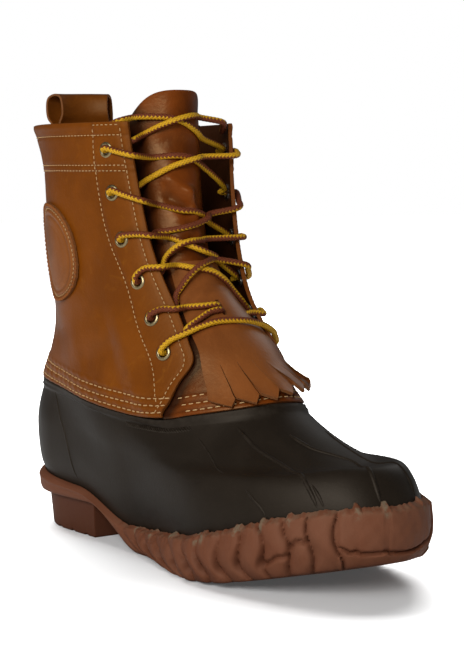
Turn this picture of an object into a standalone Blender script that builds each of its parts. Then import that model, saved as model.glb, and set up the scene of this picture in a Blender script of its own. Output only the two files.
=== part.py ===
"""A right-foot duck boot: a moulded rubber bottom, a lug outsole with a rand, and a laced leather shaft.

Metres, +Z up. The toe points along -Y and the outer side of the boot faces -X.
The origin is on the floor under the middle of the heel block.

Everything on the upper is placed by one function, form(turn, level). Turn goes once round the boot,
0 at the back of the heel, 0.25 on the outer side, 0.5 at the front and 0.75 on the inner side.
Level counts the rows of the SECTIONS table from the feather edge, 0, to the collar, COLLAR_LEVEL.
"""

import math

import bmesh
import bpy
import numpy as np
from mathutils import Matrix, Vector

# Driving sizes of the last and the shaft
LENGTH = 0.300
BALL_WIDTH = 0.104
HEEL_WIDTH = 0.084
SHAFT_WIDTH = 0.090
UPPER_HEIGHT = 0.212
SEAT_HEIGHT = 0.026
FOREFOOT_HEIGHT = 0.012
TOE_SPRING = 0.020

# Walls, clearances and seams
RUBBER = 0.0024
LEATHER = 0.0018
GAP = 0.0003
CURVED_GAP = 0.0005
STACK_GAP = 0.0011
TONGUE_GAP = 0.0007
SEAM_BAND = 0.016
FLANGE = 0.008

# Outsole and heel
HEEL_RAND = 0.0042
FORE_RAND = 0.0075
RAND_EDGE = 0.005
BLOCK_DEPTH = 0.0013
LUG_HEIGHT = 0.003
LUG_WIDTH = 0.012
RIM_WIDTH = 0.008
HEEL_INSET = 0.007
GROOVE_RADIUS = 0.0018
HEEL_GROOVES = (-0.075, -0.025, 0.025, 0.075)
INSOLE = 0.003
INSOLE_EDGE = 0.0022
SOLE_WALL = 0.0045
TREAD_EDGE = 0.0012
LUG_ROOT = 0.001
LUG_TAPER = 0.0004

# Trim
EYELET_FLANGE = 0.0046
EYELET_HOLE = 0.0024
EYELET_WALL = 0.0006
LACE = 0.0032
PATCH_RADIUS = 0.029
PATCH = 0.0010
STRAP = 0.0016
STRAP_WIDTH = 0.034
BACKSTAY_WIDTH = 0.026
BACK_TURN = -0.03
TONGUE_TAPER = 0.36
TONGUE_SHIFT = 0.0015
TONGUE_SETBACK = 0.014
LOOP_DEPTH = 0.0055
KILTIE_DROOP = 0.3
TAB_CURL = 0.0025
SLIT_SHARE = 0.06
TABS = 8

# Where things lie along the boot, as shares of LENGTH from the heel centre, and levels up it
HEEL_FRONT = -0.112
ARCH_END = -0.28
COLLAR_LEVEL = 13
TONGUE_LEVEL = 13.95

# One row for each section of the last. back and front are shares of LENGTH, the rises are shares of
# UPPER_HEIGHT, and heel is a share of the half HEEL_WIDTH. waist and ball are shares of the half
# BALL_WIDTH on the foot and of the half SHAFT_WIDTH on the shaft, as shaft mixes them.
SECTION_COLUMNS = (
    "back", "back_rise", "front", "front_rise", "sole", "heel", "waist", "ball", "shaft", "lean",
    "back_round", "front_square",
)
SECTIONS = np.array([
    (0.140, 0.000, -0.793, 0.000, 1.00, 0.81, 0.60, 0.885, 0.0, 0.096, 0.15, 0.62),
    (0.160, 0.052, -0.823, 0.050, 1.00, 0.92, 0.69, 0.980, 0.0, 0.106, 0.15, 0.64),
    (0.168, 0.108, -0.830, 0.100, 0.90, 0.98, 0.77, 1.020, 0.0, 0.106, 0.16, 0.66),
    (0.170, 0.160, -0.791, 0.185, 0.60, 1.00, 0.83, 1.000, 0.0, 0.096, 0.17, 0.64),
    (0.167, 0.208, -0.723, 0.190, 0.35, 0.99, 0.86, 0.909, 0.0, 0.087, 0.18, 0.58),
    (0.160, 0.255, -0.625, 0.232, 0.15, 0.95, 0.875, 0.847, 0.0, 0.067, 0.20, 0.52),
    (0.150, 0.302, -0.540, 0.290, 0.00, 0.92, 0.875, 0.827, 0.0, 0.048, 0.24, 0.50),
    (0.137, 0.358, -0.470, 0.391, 0.00, 0.88, 0.91, 0.850, 0.5, 0.029, 0.28, 0.50),
    (0.120, 0.434, -0.420, 0.476, 0.00, 0.84, 0.955, 0.890, 1.0, 0.010, 0.33, 0.52),
    (0.117, 0.528, -0.377, 0.575, 0.00, 0.87, 0.955, 0.890, 1.0, 0.000, 0.38, 0.55),
    (0.127, 0.646, -0.340, 0.693, 0.00, 0.93, 0.98, 0.900, 1.0, 0.000, 0.42, 0.58),
    (0.137, 0.774, -0.320, 0.821, 0.00, 0.95, 1.00, 0.910, 1.0, 0.000, 0.44, 0.60),
    (0.147, 0.896, -0.310, 0.925, 0.00, 0.965, 1.00, 0.920, 1.0, 0.000, 0.45, 0.62),
    (0.170, 1.000, -0.307, 1.000, 0.00, 1.035, 1.045, 0.930, 1.0, 0.000, 0.45, 0.62),
    (0.180, 1.092, -0.303, 1.085, 0.00, 1.05, 1.05, 0.930, 1.0, 0.000, 0.45, 0.62),
])

# Curves on the upper: how far round from the back, and the level there
SEAM_COLUMNS = ("turn", "level")
SEAM = np.array([
    (0.00, 5.95), (0.10, 5.95), (0.18, 5.80), (0.25, 5.45),
    (0.315, 5.31), (0.36, 5.63), (0.42, 5.92), (0.50, 6.08),
])
RAND_COLUMNS = ("turn", "level")
RAND = np.array([
    (0.00, 0.75), (0.09, 0.70), (0.155, 0.40), (0.23, 0.35),
    (0.29, 0.85), (0.35, 1.60), (0.39, 1.90), (0.50, 1.90),
])
SPRING_COLUMNS = ("along", "rise")
SPRING = np.array([
    (0.47, 0.00), (0.53, 0.05), (0.58, 0.14), (0.63, 0.28), (0.68, 0.45), (0.745, 0.68), (0.86, 1.00),
])
THROAT_COLUMNS = ("level", "turn")
THROAT = np.array([
    (5.3, 0.325), (6.0, 0.348), (6.5, 0.370), (7.0, 0.400), (7.6, 0.408),
    (8.3, 0.410), (9.6, 0.400), (11.6, 0.388), (13.0, 0.384),
])
LUG_COLUMNS = ("along", "left", "right", "count")
LUG_ROWS = (
    (-0.68, -0.12, 0.28, 3), (-0.61, -0.22, 0.34, 3), (-0.54, -0.28, 0.34, 4), (-0.47, -0.26, 0.28, 3),
    (-0.40, -0.22, 0.22, 3),
)
EYELET_COLUMNS = ("turn", "level")
EYELETS = ((0.343, 12.1), (0.345, 11.05), (0.351, 10.1), (0.362, 9.2), (0.368, 8.3), (0.368, 7.3))
KILTIE_COLUMNS = ("level", "middle", "reach", "tip", "curl")
KILTIE = (
    (6.15, 0.520, 0.124, 1.0, 1.0),
    (6.45, 0.516, 0.114, 0.4, 0.4),
    (6.85, 0.508, 0.100, 0.0, 0.0),
    (7.2, 0.502, 0.088, 0.0, 0.0),
    (7.9, 0.5, 0.083, 0.0, 0.0),
    (8.7, 0.5, 0.080, 0.0, 0.0),
    (9.5, 0.5, 0.078, 0.0, 0.0),
)
LACE_COLUMNS = ("outer_edge", "middle", "inner_edge")
LACE_OVER_OUTER = (
    (11.84, 11.84, 11.5), (10.75, 10.55, 10.25), (10.13, 9.7, 9.4), (9.46, 9.24, 8.85), (8.5, 8.41, 8.1),
)
LACE_OVER_INNER = (
    (11.3, 11.66, 11.87), (10.16, 10.28, 10.62), (9.5, 9.9, 10.05), (8.78, 9.38, 9.5), (7.95, 8.29, 8.25),
)
LACE_BAR = (7.72, 8.0, 7.68)
LACE_TOP = ((12.55, 13.1, 13.05), (13.14, 12.9, 12.3))
EDGE_TURN = 0.405
TUCKED_TURN = 0.415
PATCH_CENTRE = (0.197, 9.9)

# How finely the surfaces are divided, and the blocks round the sole
SHELL_COLUMNS, SHELL_ROWS = 56, 4
SHAFT_COLUMNS, SHAFT_ROWS = 40, 6
SOLE_BLOCKS = 28


def ease(share):
    """0 to 1 with a soft start and end."""
    share = np.clip(share, 0.0, 1.0)
    return share * share * (3 - 2 * share)


def through(table, at):
    """A curve through the table's points, flat beyond its ends, with eased slopes between."""
    at = np.asarray(at, float)
    keys, values = table[:, 0], table[:, 1]
    slopes = np.gradient(values, keys)
    slopes[0] = slopes[-1] = 0.0
    clipped = np.clip(at, keys[0], keys[-1])
    i = np.clip(np.searchsorted(keys, clipped, side="right") - 1, 0, len(keys) - 2)
    width = keys[i + 1] - keys[i]
    t = (clipped - keys[i]) / width
    return (
        (2 * t**3 - 3 * t**2 + 1) * values[i]
        + (t**3 - 2 * t**2 + t) * width * slopes[i]
        + (3 * t**2 - 2 * t**3) * values[i + 1]
        + (t**3 - t**2) * width * slopes[i + 1]
    )


def half_turn(turn):
    """How far round from the back of the heel, from 0 to 0.5, on either side."""
    turn = np.mod(np.asarray(turn, float), 1.0)
    return np.minimum(turn, 1.0 - turn)


def feather(y):
    """Height of the feather edge: level under the heel, down the arch, and up to the toe."""
    arch = ease((-0.065 * LENGTH - y) / (0.185 * LENGTH))
    return SEAT_HEIGHT + (FOREFOOT_HEIGHT - SEAT_HEIGHT) * arch + 0.85 * spring(y)


def spring(y):
    """How far the toe has sprung up."""
    return TOE_SPRING * through(SPRING, -np.asarray(y, float) / LENGTH)


def sections_at(level):
    """The SECTIONS row at any level, by a Catmull-Rom curve through the rows."""
    level = np.clip(np.asarray(level, float), 0.0, len(SECTIONS) - 1 - 1e-9)
    i = level.astype(int)
    t = (level - i)[..., None]
    rows = [SECTIONS[np.clip(i + k, 0, len(SECTIONS) - 1)] for k in (-1, 0, 1, 2)]
    mixed = 0.5 * (
        2 * rows[1]
        + (rows[2] - rows[0]) * t
        + (2 * rows[0] - 5 * rows[1] + 4 * rows[2] - rows[3]) * t**2
        + (3 * rows[1] - rows[0] - 3 * rows[2] + rows[3]) * t**3
    )
    return {name: mixed[..., k] for k, name in enumerate(SECTION_COLUMNS)}


def form(turn, level):
    """A point of the last's outer surface. A section is a closed oval on a plane tilted to the front."""
    turn, level = np.broadcast_arrays(np.asarray(turn, float), np.asarray(level, float))
    row = sections_at(level)
    along = (1 - np.cos(2 * math.pi * turn)) / 2
    side = np.where(np.sin(2 * math.pi * turn) >= 0, -1.0, 1.0)
    girth = (BALL_WIDTH + (SHAFT_WIDTH - BALL_WIDTH) * row["shaft"]) / 2
    heel = row["heel"] * HEEL_WIDTH / 2
    waist, ball = row["waist"] * girth, row["ball"] * girth
    width = heel + (waist - heel) * ease((along - 0.15) / 0.30) + (ball - waist) * ease((along - 0.45) / 0.29)
    back_end = np.clip(1 - along / row["back_round"], 0, 1)
    front_end = np.clip((along - row["front_square"]) / (1 - row["front_square"]), 0, 1)
    rounding = np.sqrt(np.clip(1 - back_end**2, 0, 1)) * np.sqrt(np.clip(1 - front_end**2.2, 0, 1))
    x = row["lean"] * BALL_WIDTH * ease((along - 0.40) / 0.60) + side * width * rounding
    y = LENGTH * (row["back"] + (row["front"] - row["back"]) * along)
    rise = row["back_rise"] + (row["front_rise"] - row["back_rise"]) * along
    z = SEAT_HEIGHT + rise * UPPER_HEIGHT + row["sole"] * (feather(y) - SEAT_HEIGHT)
    return np.stack([x, y, z], -1)


def unit(vectors):
    return vectors / np.linalg.norm(vectors, axis=-1, keepdims=True)


def outward(turn, level):
    """The form's outward normal, from the slopes round it and up it."""
    round_it = form(np.asarray(turn) + 1e-4, level) - form(np.asarray(turn) - 1e-4, level)
    level = np.clip(level, 0.02, len(SECTIONS) - 1.02)
    up_it = form(turn, level + 0.01) - form(turn, level - 0.01)
    return unit(np.cross(round_it, up_it))


def skin(turn, level, out):
    """A point at a distance out from the form."""
    return form(turn, level) + outward(turn, level) * np.asarray(out)[..., None]


def seam(turn):
    """Level of the leather's lower edge."""
    return through(SEAM, half_turn(turn))


def rand_top(turn):
    """Level of the rand's top edge."""
    return through(RAND, half_turn(turn))


def band(turn):
    """How many levels the stitched band is high, so that it is SEAM_BAND wide all round."""
    low = seam(turn)
    return SEAM_BAND / np.linalg.norm(form(turn, low + 0.5) - form(turn, low - 0.5), axis=-1)


def vamp_cover(turn, level):
    """1 where the leather vamp lies under the quarters, 0 elsewhere."""
    return ease((half_turn(turn) - 0.285) / 0.03) * (1 - ease((np.asarray(level) - 7.4) / 1.8))


def quarter_inside(turn, level):
    """How far the quarters' inner face stands off the form."""
    return CURVED_GAP + (TONGUE_GAP + LEATHER + STACK_GAP - CURVED_GAP) * vamp_cover(turn, level)


def quarter_outside(turn, level):
    return quarter_inside(turn, level) + LEATHER


def quarter_face(turn, level):
    """A point of the quarters' outer face."""
    return skin(turn, level, quarter_outside(turn, level))


def quarter_normal(turn, level):
    """The quarters' own outward direction, which leans where they lie over the vamp."""
    round_it = quarter_face(turn + 1e-3, level) - quarter_face(turn - 1e-3, level)
    up_it = quarter_face(turn, level + 0.05) - quarter_face(turn, level - 0.05)
    return unit(np.cross(round_it, up_it))


def tongue_skin(turn, level, out):
    """The throat's inner surface: on the form at the vamp, and narrower and set back up the shaft."""
    point = skin(turn, level, out)
    back = ease((np.asarray(level, float) - 7.1) / 2.6)
    point[..., 0] = point[..., 0] * (1 - TONGUE_TAPER * back) - TONGUE_SHIFT * back
    point[..., 1] += TONGUE_SETBACK * back
    return point


def material(name, colour, roughness, metallic=0.0):
    made = bpy.data.materials.new(name)
    made.use_nodes = True
    shader = made.node_tree.nodes["Principled BSDF"]
    shader.inputs["Base Color"].default_value = (*colour, 1.0)
    shader.inputs["Roughness"].default_value = roughness
    shader.inputs["Metallic"].default_value = metallic
    return made


def add_object(name, mesh, finish, collection):
    made = bpy.data.objects.new(name, mesh)
    mesh.materials.append(finish)
    collection.objects.link(made)
    return made


def grid_faces(rows, columns, closed=False):
    """Quads of a grid whose rows run upwards and whose columns run round, facing out."""
    faces = []
    for low in range(0, (rows - 1) * columns, columns):
        for c in range(columns if closed else columns - 1):
            after = (c + 1) % columns
            faces.append((low + c, low + after, low + columns + after, low + columns + c))
    return faces


def sheet(name, grid, thickness, finish, collection, closed=False, keep=None):
    """An open surface, given at its inner face, thickened outwards. keep(row, column) drops cells."""
    rows, columns = grid.shape[:2]
    faces = grid_faces(rows, columns, closed)
    if keep is not None:
        across = columns if closed else columns - 1
        faces = [face for k, face in enumerate(faces) if keep(k // across, k % across)]
    mesh = bpy.data.meshes.new(name)
    mesh.from_pydata(grid.reshape(-1, 3).tolist(), [], faces)
    clean = bmesh.new()
    clean.from_mesh(mesh)
    bmesh.ops.delete(clean, geom=[v for v in clean.verts if not v.link_faces], context="VERTS")
    bmesh.ops.remove_doubles(clean, verts=clean.verts, dist=1e-6)
    clean.to_mesh(mesh)
    clean.free()
    mesh.shade_smooth()
    made = add_object(name, mesh, finish, collection)
    wall = made.modifiers.new("wall", "SOLIDIFY")
    wall.thickness = thickness
    wall.offset = 1.0
    wall.use_even_offset = True
    return made


def rings(name, loops, finish, collection):
    """A closed body lofted through closed loops, the first and last of them capped across the boot."""
    rows, columns = loops.shape[:2]
    faces = grid_faces(rows, columns, closed=True)
    half = columns // 2
    for first, upward in ((0, False), ((rows - 1) * columns, True)):
        for c in range(half):
            far, near = (columns - c - 1, (columns - c) % columns)
            cap = (first + c, first + c + 1, first + far, first + near)
            cap = tuple(dict.fromkeys(cap))
            if len(cap) > 2:
                faces.append(cap if upward else cap[::-1])
    mesh = bpy.data.meshes.new(name)
    mesh.from_pydata(loops.reshape(-1, 3).tolist(), [], faces)
    mesh.shade_smooth()
    mesh.set_sharp_from_angle(angle=math.radians(40))
    return add_object(name, mesh, finish, collection)


def helper(made, collection):
    """Makes an object a cutter or a piece to be joined, which is no node of its own."""
    made.hide_render = True
    made.display_type = "WIRE"
    for owner in made.users_collection:
        owner.objects.unlink(made)
    collection.objects.link(made)
    return made


def boolean(made, other, operation):
    step = made.modifiers.new(operation.lower(), "BOOLEAN")
    step.object = other
    step.operation = operation


def tube(name, points, finish, collection):
    """A lace: a smooth curve through a few points, as a bevelled curve with filled caps."""
    points = [Vector(p) for p in points]
    ends = [points[0] * 2 - points[1], *points, points[-1] * 2 - points[-2]]
    path = []
    for i in range(1, len(ends) - 2):
        steps = max(1, round((ends[i + 1] - ends[i]).length / (3 * LACE)))
        for k in range(steps):
            t = k / steps
            a, b, c, d = ends[i - 1 : i + 3]
            square, cube = 2 * a - 5 * b + 4 * c - d, 3 * b - a - 3 * c + d
            path.append(0.5 * (2 * b + (c - a) * t + square * t**2 + cube * t**3))
    path.append(points[-1])
    curve = bpy.data.curves.new(name, "CURVE")
    curve.dimensions = "3D"
    curve.bevel_depth = LACE / 2
    curve.bevel_resolution = 2
    curve.use_fill_caps = True
    spline = curve.splines.new("POLY")
    spline.points.add(len(path) - 1)
    for spot, point in zip(spline.points, path):
        spot.co = (*point, 1.0)
    return add_object(name, curve, finish, collection)


def curve_to_mesh(made, collection):
    """The curve as a welded mesh object of the same name and place."""
    bpy.context.view_layer.update()
    graph = bpy.context.evaluated_depsgraph_get()
    mesh = bpy.data.meshes.new_from_object(made.evaluated_get(graph))
    weld = bmesh.new()
    weld.from_mesh(mesh)
    bmesh.ops.remove_doubles(weld, verts=weld.verts, dist=1e-6)
    weld.to_mesh(mesh)
    weld.free()
    name, place = made.name, made.matrix_world.copy()
    bpy.data.objects.remove(made)
    solid = bpy.data.objects.new(name, mesh)
    solid.matrix_world = place
    collection.objects.link(solid)
    return solid


def even_turns(count):
    """Turns that are evenly spaced along the feather edge, the same on both sides."""
    fine = np.linspace(0, 0.5, 400)
    edge = form(fine, 0.0)
    run = np.concatenate([[0], np.cumsum(np.linalg.norm(np.diff(edge, axis=0), axis=1))])
    half = np.interp(np.linspace(0, run[-1], count // 2 + 1), run, fine)
    return np.concatenate([half, 1 - half[-2:0:-1]])


def between(turns):
    """Turns with one more put between each two."""
    step = np.diff(np.append(turns, 1.0))
    return np.stack([turns, turns + step / 2], 1).ravel()


def doubled(loop):
    """A closed loop with the middle of each side put in, so that its facets stay those of the coarser one."""
    return np.stack([loop, (loop + np.roll(loop, -1, axis=0)) / 2], 1).reshape(-1, 3)


def on_feather(loop, lift):
    """The loop laid on the feather edge's height, and lifted."""
    laid = loop.copy()
    laid[:, 2] = feather(laid[:, 1]) + lift
    return laid


def along_turn(turn, level):
    """Metres to one whole turn at this place."""
    return float(np.linalg.norm(form(turn + 0.01, level) - form(turn - 0.01, level)) / 0.02)


def along_level(turn, level):
    """Metres to one level at this place."""
    return float(np.linalg.norm(form(turn, level + 0.2) - form(turn, level - 0.2)) / 0.4)


def shaft_level(turn, share):
    """Level that lies at a share of the way from the top of the stitched band to the collar."""
    start = seam(turn) + band(turn)
    return start + (COLLAR_LEVEL - start) * share


def ground(y):
    """Height of the outsole's underside: on the heel block, down the arch, flat, and up at the toe."""
    arch = ease((HEEL_FRONT * LENGTH - y) / ((HEEL_FRONT - ARCH_END) * LENGTH))
    return heel_top() * (1 - arch) + spring(y)


def heel_top():
    """Underside of the outsole over the heel block."""
    return SEAT_HEIGHT - SOLE_WALL


def rubber_shell(finish, collection):
    """The moulded rubber bottom: a flange under the foot, sides, toe, and an edge inside the leather."""
    turns = even_turns(SHELL_COLUMNS)
    corner = on_feather(skin(turns, 0.0, -RUBBER), RUBBER)
    flange = on_feather(corner - unit(outward(turns, 0.05) * [1, 1, 0]) * FLANGE, RUBBER)
    rows = [flange, corner]
    rows += [skin(turns, rand_top(turns) / 2, -RUBBER)]
    for k in range(SHELL_ROWS + 1):
        share = (k / SHELL_ROWS) ** 1.25
        rows.append(skin(turns, rand_top(turns) + (seam(turns) - rand_top(turns)) * share, -RUBBER))
    rows.append(skin(turns, seam(turns) + band(turns), -RUBBER))
    return sheet("rubber_shell", np.stack(rows), RUBBER, finish, collection, closed=True)


def quarters(finish, collection, cutters):
    """The leather shaft: both quarters in one wall, open down the front, with a hole for each eyelet."""
    share = np.linspace(-1, 1, SHAFT_COLUMNS + 1)
    rows = []
    for k in range(-1, SHAFT_ROWS + 1):
        turns = share * 0.38
        for _ in range(20):
            levels = seam(turns) if k < 0 else shaft_level(turns, k / SHAFT_ROWS)
            turns = 0.5 * turns + 0.5 * share * through(THROAT, levels)
        rows.append(skin(turns, levels, quarter_inside(turns, levels)))
    made = sheet("leather_shaft", np.stack(rows), LEATHER, finish, collection)
    holes = bmesh.new()
    for place, normal in eyelet_places():
        turned = normal.to_track_quat("Z", "Y").to_matrix().to_4x4()
        turned.translation = place
        bmesh.ops.create_cone(
            holes,
            cap_ends=True,
            segments=8,
            radius1=EYELET_HOLE + EYELET_WALL + CURVED_GAP,
            radius2=EYELET_HOLE + EYELET_WALL + CURVED_GAP,
            depth=6 * LEATHER,
            matrix=turned,
        )
    mesh = bpy.data.meshes.new("eyelet_holes")
    holes.to_mesh(mesh)
    holes.free()
    cutter = helper(add_object("eyelet_holes", mesh, finish, collection), cutters)
    boolean(made, cutter, "DIFFERENCE")
    return made


def eyelet_places():
    """Centre on the quarters' outer face and outward direction of each eyelet, outer side first."""
    places = []
    for side in (1, -1):
        for turn, level in EYELETS:
            normal = quarter_normal(side * turn, level)
            places.append((Vector(quarter_face(side * turn, level)), Vector(normal)))
    return places


def eyelets(finish, collection):
    """Twelve turned rings: a flange on the leather and a barrel through it."""
    flange_low, flange_top, barrel = GAP, GAP + EYELET_WALL, LEATHER
    profile = [
        (EYELET_HOLE, flange_top),
        (EYELET_FLANGE, flange_low),
        (EYELET_HOLE + EYELET_WALL, flange_low),
        (EYELET_HOLE + EYELET_WALL, -barrel),
        (EYELET_HOLE, -barrel),
    ]
    mesh = bpy.data.meshes.new("eyelet")
    around = [(k, (k + 1) % len(profile)) for k in range(len(profile))]
    mesh.from_pydata([(r, 0, z) for r, z in profile], around, [])
    mesh.materials.append(finish)
    for k, (place, normal) in enumerate(eyelet_places()):
        side = "outer" if k < len(EYELETS) else "inner"
        made = bpy.data.objects.new(f"eyelet_{side}_{k % len(EYELETS) + 1}", mesh)
        made.location = place + normal * 2 * GAP
        made.rotation_mode = "QUATERNION"
        made.rotation_quaternion = normal.to_track_quat("Z", "Y")
        collection.objects.link(made)
        turn = made.modifiers.new("turned", "SCREW")
        turn.steps = turn.render_steps = 8
        turn.use_merge_vertices = True
        turn.merge_threshold = 0.0001


def tongue(finish, collection):
    """The leather vamp and tongue in one: over the rubber, under the quarters, and up past the collar."""
    share = np.linspace(-1, 1, 12)
    rows = []
    for level_share in (0, 0.05, 0.1, 0.16, 0.24, 0.33, 0.43, 0.53, 0.65, 0.8, 0.93, 1.0):
        reach = 0.160 - 0.035 * ease((level_share - 0.02) / 0.25)
        drop = 0.07 * ease((level_share - 0.85) / 0.15)
        turns = 0.5 + share * reach
        low = seam(turns)
        top = TONGUE_LEVEL - 14 * drop * np.abs(share) ** 3
        levels = low + (top - low) * level_share
        rows.append(tongue_skin(turns, levels, np.full(turns.shape, TONGUE_GAP)))
    return sheet("tongue", np.stack(rows), LEATHER, finish, collection)


def kiltie(finish, collection):
    """The false tongue with its fringe: a tapered sheet over the tongue, slit into pointed tabs."""
    across = []
    for k in range(TABS):
        across += [(k + SLIT_SHARE) / TABS, (k + 0.7) / TABS, (k + 1 - SLIT_SHARE) / TABS]
    across = np.array(across) * 2 - 1
    point = np.tile([0.25, 1.0, 0.25], TABS)
    rows = []
    for level, middle, reach, tip, curl in KILTIE:
        turns = middle + across * reach
        levels = level + 0.5 * tip * (0.5 - point) + KILTIE_DROOP * tip * (0.5 - np.abs(across))
        out = TONGUE_GAP + LEATHER + STACK_GAP + TAB_CURL * curl
        rows.append(tongue_skin(turns, levels, np.full(turns.shape, out)))

    def keep(row, column):
        return row >= 2 or column % 3 != 2

    return sheet("kiltie", np.stack(rows), LEATHER, finish, collection, keep=keep)


def outsole(finish, collection, cutters):
    """The lug sole in one with its rand: rim and round lugs below, blocks at the side, a cup on top."""
    turns = between(even_turns(SHELL_COLUMNS))
    coarse = even_turns(SHELL_COLUMNS)
    top = rand_top(turns)
    waist = form(turns, top)
    fore = ease((-0.17 * LENGTH - waist[:, 1]) / (0.12 * LENGTH))
    block = np.abs(np.sin(math.pi * SOLE_BLOCKS * np.arange(len(turns)) / len(turns)))
    proud = HEEL_RAND + (FORE_RAND - HEEL_RAND) * fore - BLOCK_DEPTH * fore * (1 - block)
    edge = skin(turns, np.minimum(top, 1.0), proud)
    floor = ground(edge[:, 1])
    lip = skin(turns, top + 0.12 * fore * block, proud * (0.75 - 0.4 * fore))
    rounded = RAND_EDGE * (0.3 + 0.7 * ease((-0.6 * LENGTH - waist[:, 1]) / (0.2 * LENGTH)))
    recess = LUG_HEIGHT * ease((HEEL_FRONT * LENGTH - edge[:, 1]) / (0.1 * LENGTH))

    def side(inset, share, lift=0.0):
        moved = edge - unit(outward(turns, 0.6) * [1, 1, 0]) * np.broadcast_to(inset, turns.shape)[:, None]
        moved[:, 2] = ground(moved[:, 1]) + (lip[:, 2] - floor) * share + lift
        return moved

    loops = [
        side(RIM_WIDTH, 0.0, recess),
        side(RIM_WIDTH, 0.0),
        side(rounded, 0.0),
        side(0.25 * rounded, 0.2),
        side(0.0, 0.55),
        lip,
        doubled(skin(coarse, rand_top(coarse), CURVED_GAP)),
        doubled(skin(coarse, rand_top(coarse) / 2, CURVED_GAP)),
        doubled(on_feather(skin(coarse, 0.0, CURVED_GAP), -1.5 * STACK_GAP)),
    ]
    made = rings("outsole", np.stack(loops), finish, collection)
    lugs = bmesh.new()
    depth = LUG_HEIGHT + LUG_ROOT
    for along, left, right, count in LUG_ROWS:
        for k in range(count):
            x = left + (right - left) * k / max(count - 1, 1)
            low = float(ground(np.float64(along * LENGTH)))
            bmesh.ops.create_cone(
                lugs,
                cap_ends=True,
                segments=8,
                radius1=LUG_WIDTH / 2,
                radius2=LUG_WIDTH / 2 + LUG_TAPER,
                depth=depth,
                matrix=Matrix.Translation((x * BALL_WIDTH, along * LENGTH, low + depth / 2)),
            )
    mesh = bpy.data.meshes.new("round_lugs")
    lugs.to_mesh(mesh)
    lugs.free()
    boolean(made, helper(add_object("round_lugs", mesh, finish, collection), cutters), "UNION")


def heel(finish, collection, cutters):
    """The heel block: a D in plan, tapered a little, with grooves across its tread."""
    back = np.linspace(0, 0.5, 200)
    outline = skin(back, 0.7, HEEL_RAND - HEEL_INSET)
    last = np.interp(-HEEL_FRONT * LENGTH, -outline[:, 1], back)
    curve = skin(np.linspace(0, last, 10), 0.7, HEEL_RAND - HEEL_INSET)
    plan = np.concatenate([curve, curve[:0:-1] * [-1, 1, 1]])
    centre = np.array([0.0, plan[:, 1].mean(), 0.0])
    loops = []
    for height, scale in ((0.0, 0.93), (TREAD_EDGE, 0.95), (heel_top() - GAP, 1.0)):
        loops.append(centre + (plan - centre) * [scale, scale, 0] + [0, 0, height])
    made = rings("heel", np.stack(loops), finish, collection)
    grooves = bmesh.new()
    for share in HEEL_GROOVES:
        bmesh.ops.create_cone(
            grooves,
            cap_ends=True,
            segments=8,
            radius1=GROOVE_RADIUS,
            radius2=GROOVE_RADIUS,
            depth=1.5 * HEEL_WIDTH,
            matrix=Matrix.Translation((0, share * LENGTH, GAP)) @ Matrix.Rotation(math.pi / 2, 4, "Y"),
        )
    mesh = bpy.data.meshes.new("heel_grooves")
    grooves.to_mesh(mesh)
    grooves.free()
    boolean(made, helper(add_object("heel_grooves", mesh, finish, collection), cutters), "DIFFERENCE")


def insole(finish, collection):
    """The footbed, lying on the shell's flange and on the outsole inside it."""
    turns = even_turns(SHELL_COLUMNS)
    rise = form(turns, 1.0)[:, 2] - form(turns, 0.0)[:, 2]
    loops = []
    for lift in (RUBBER + GAP, RUBBER + GAP + INSOLE):
        loops.append(on_feather(skin(turns, lift / rise, -RUBBER - INSOLE_EDGE), lift))
    rings("insole", np.stack(loops), finish, collection)


def backstay(finish, collection):
    """The strip over the seam down the back of the shaft."""
    share = np.linspace(-1, 1, 5)
    rows = []
    for k in np.linspace(0.0, 0.82, 8):
        middle = shaft_level(0.0, k)
        turns = BACK_TURN * ease(k) + share * BACKSTAY_WIDTH / 2 / along_turn(0.02, middle)
        rows.append(skin(turns, shaft_level(turns, k), quarter_outside(turns, middle) + 1.8 * CURVED_GAP))
    sheet("backstay", np.stack(rows), STRAP, finish, collection)


def pull_loop(finish, collection):
    """The loop at the back: sewn outside the collar, up, over, and down inside it."""
    outer = LEATHER + CURVED_GAP + TONGUE_GAP
    middle = LEATHER / 2
    path = (
        (12.25, outer), (13.05, outer), (13.35, middle + LOOP_DEPTH), (13.7, middle + LOOP_DEPTH),
        (13.9, middle + 0.7 * LOOP_DEPTH), (13.98, middle), (13.9, middle - 0.7 * LOOP_DEPTH),
        (13.7, middle - LOOP_DEPTH), (13.35, middle - LOOP_DEPTH),
        (13.05, -2 * CURVED_GAP), (12.6, -2 * CURVED_GAP),
    )
    turns = BACK_TURN + np.linspace(-1, 1, 5) * STRAP_WIDTH / 2 / along_turn(0.02, 12.8)
    rows = [skin(turns, np.minimum(level, 13.98), np.full(turns.shape, out)) for level, out in path]
    sheet("pull_loop", np.stack(rows), STRAP, finish, collection)


def side_patch(finish, collection):
    """The plain round patch on the outer quarter."""
    turn, level = PATCH_CENTRE
    round_it, up_it = along_turn(turn, level), along_level(turn, level)
    angle = np.linspace(0, 2 * math.pi, 18, endpoint=False)
    rows = []
    for share in (0.0, 0.36, 0.7, 1.0):
        across, rise = np.cos(angle) * PATCH_RADIUS * share, np.sin(angle) * PATCH_RADIUS * share
        turns, levels = turn + across / round_it, level + rise / up_it
        rows.append(skin(turns, levels, quarter_outside(turns, levels) + CURVED_GAP))
    sheet("side_patch", np.stack(rows)[::-1], PATCH, finish, collection, closed=True)


def on_tongue(turn, level):
    """Where a lace lies on the tongue, or on the kiltie over it."""
    stacked = LEATHER + TONGUE_GAP + (LEATHER + STACK_GAP) * float(1 - ease((level - 9.6) / 0.5))
    return tongue_skin(turn, level, stacked + STACK_GAP + TONGUE_GAP + LACE / 2)


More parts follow.
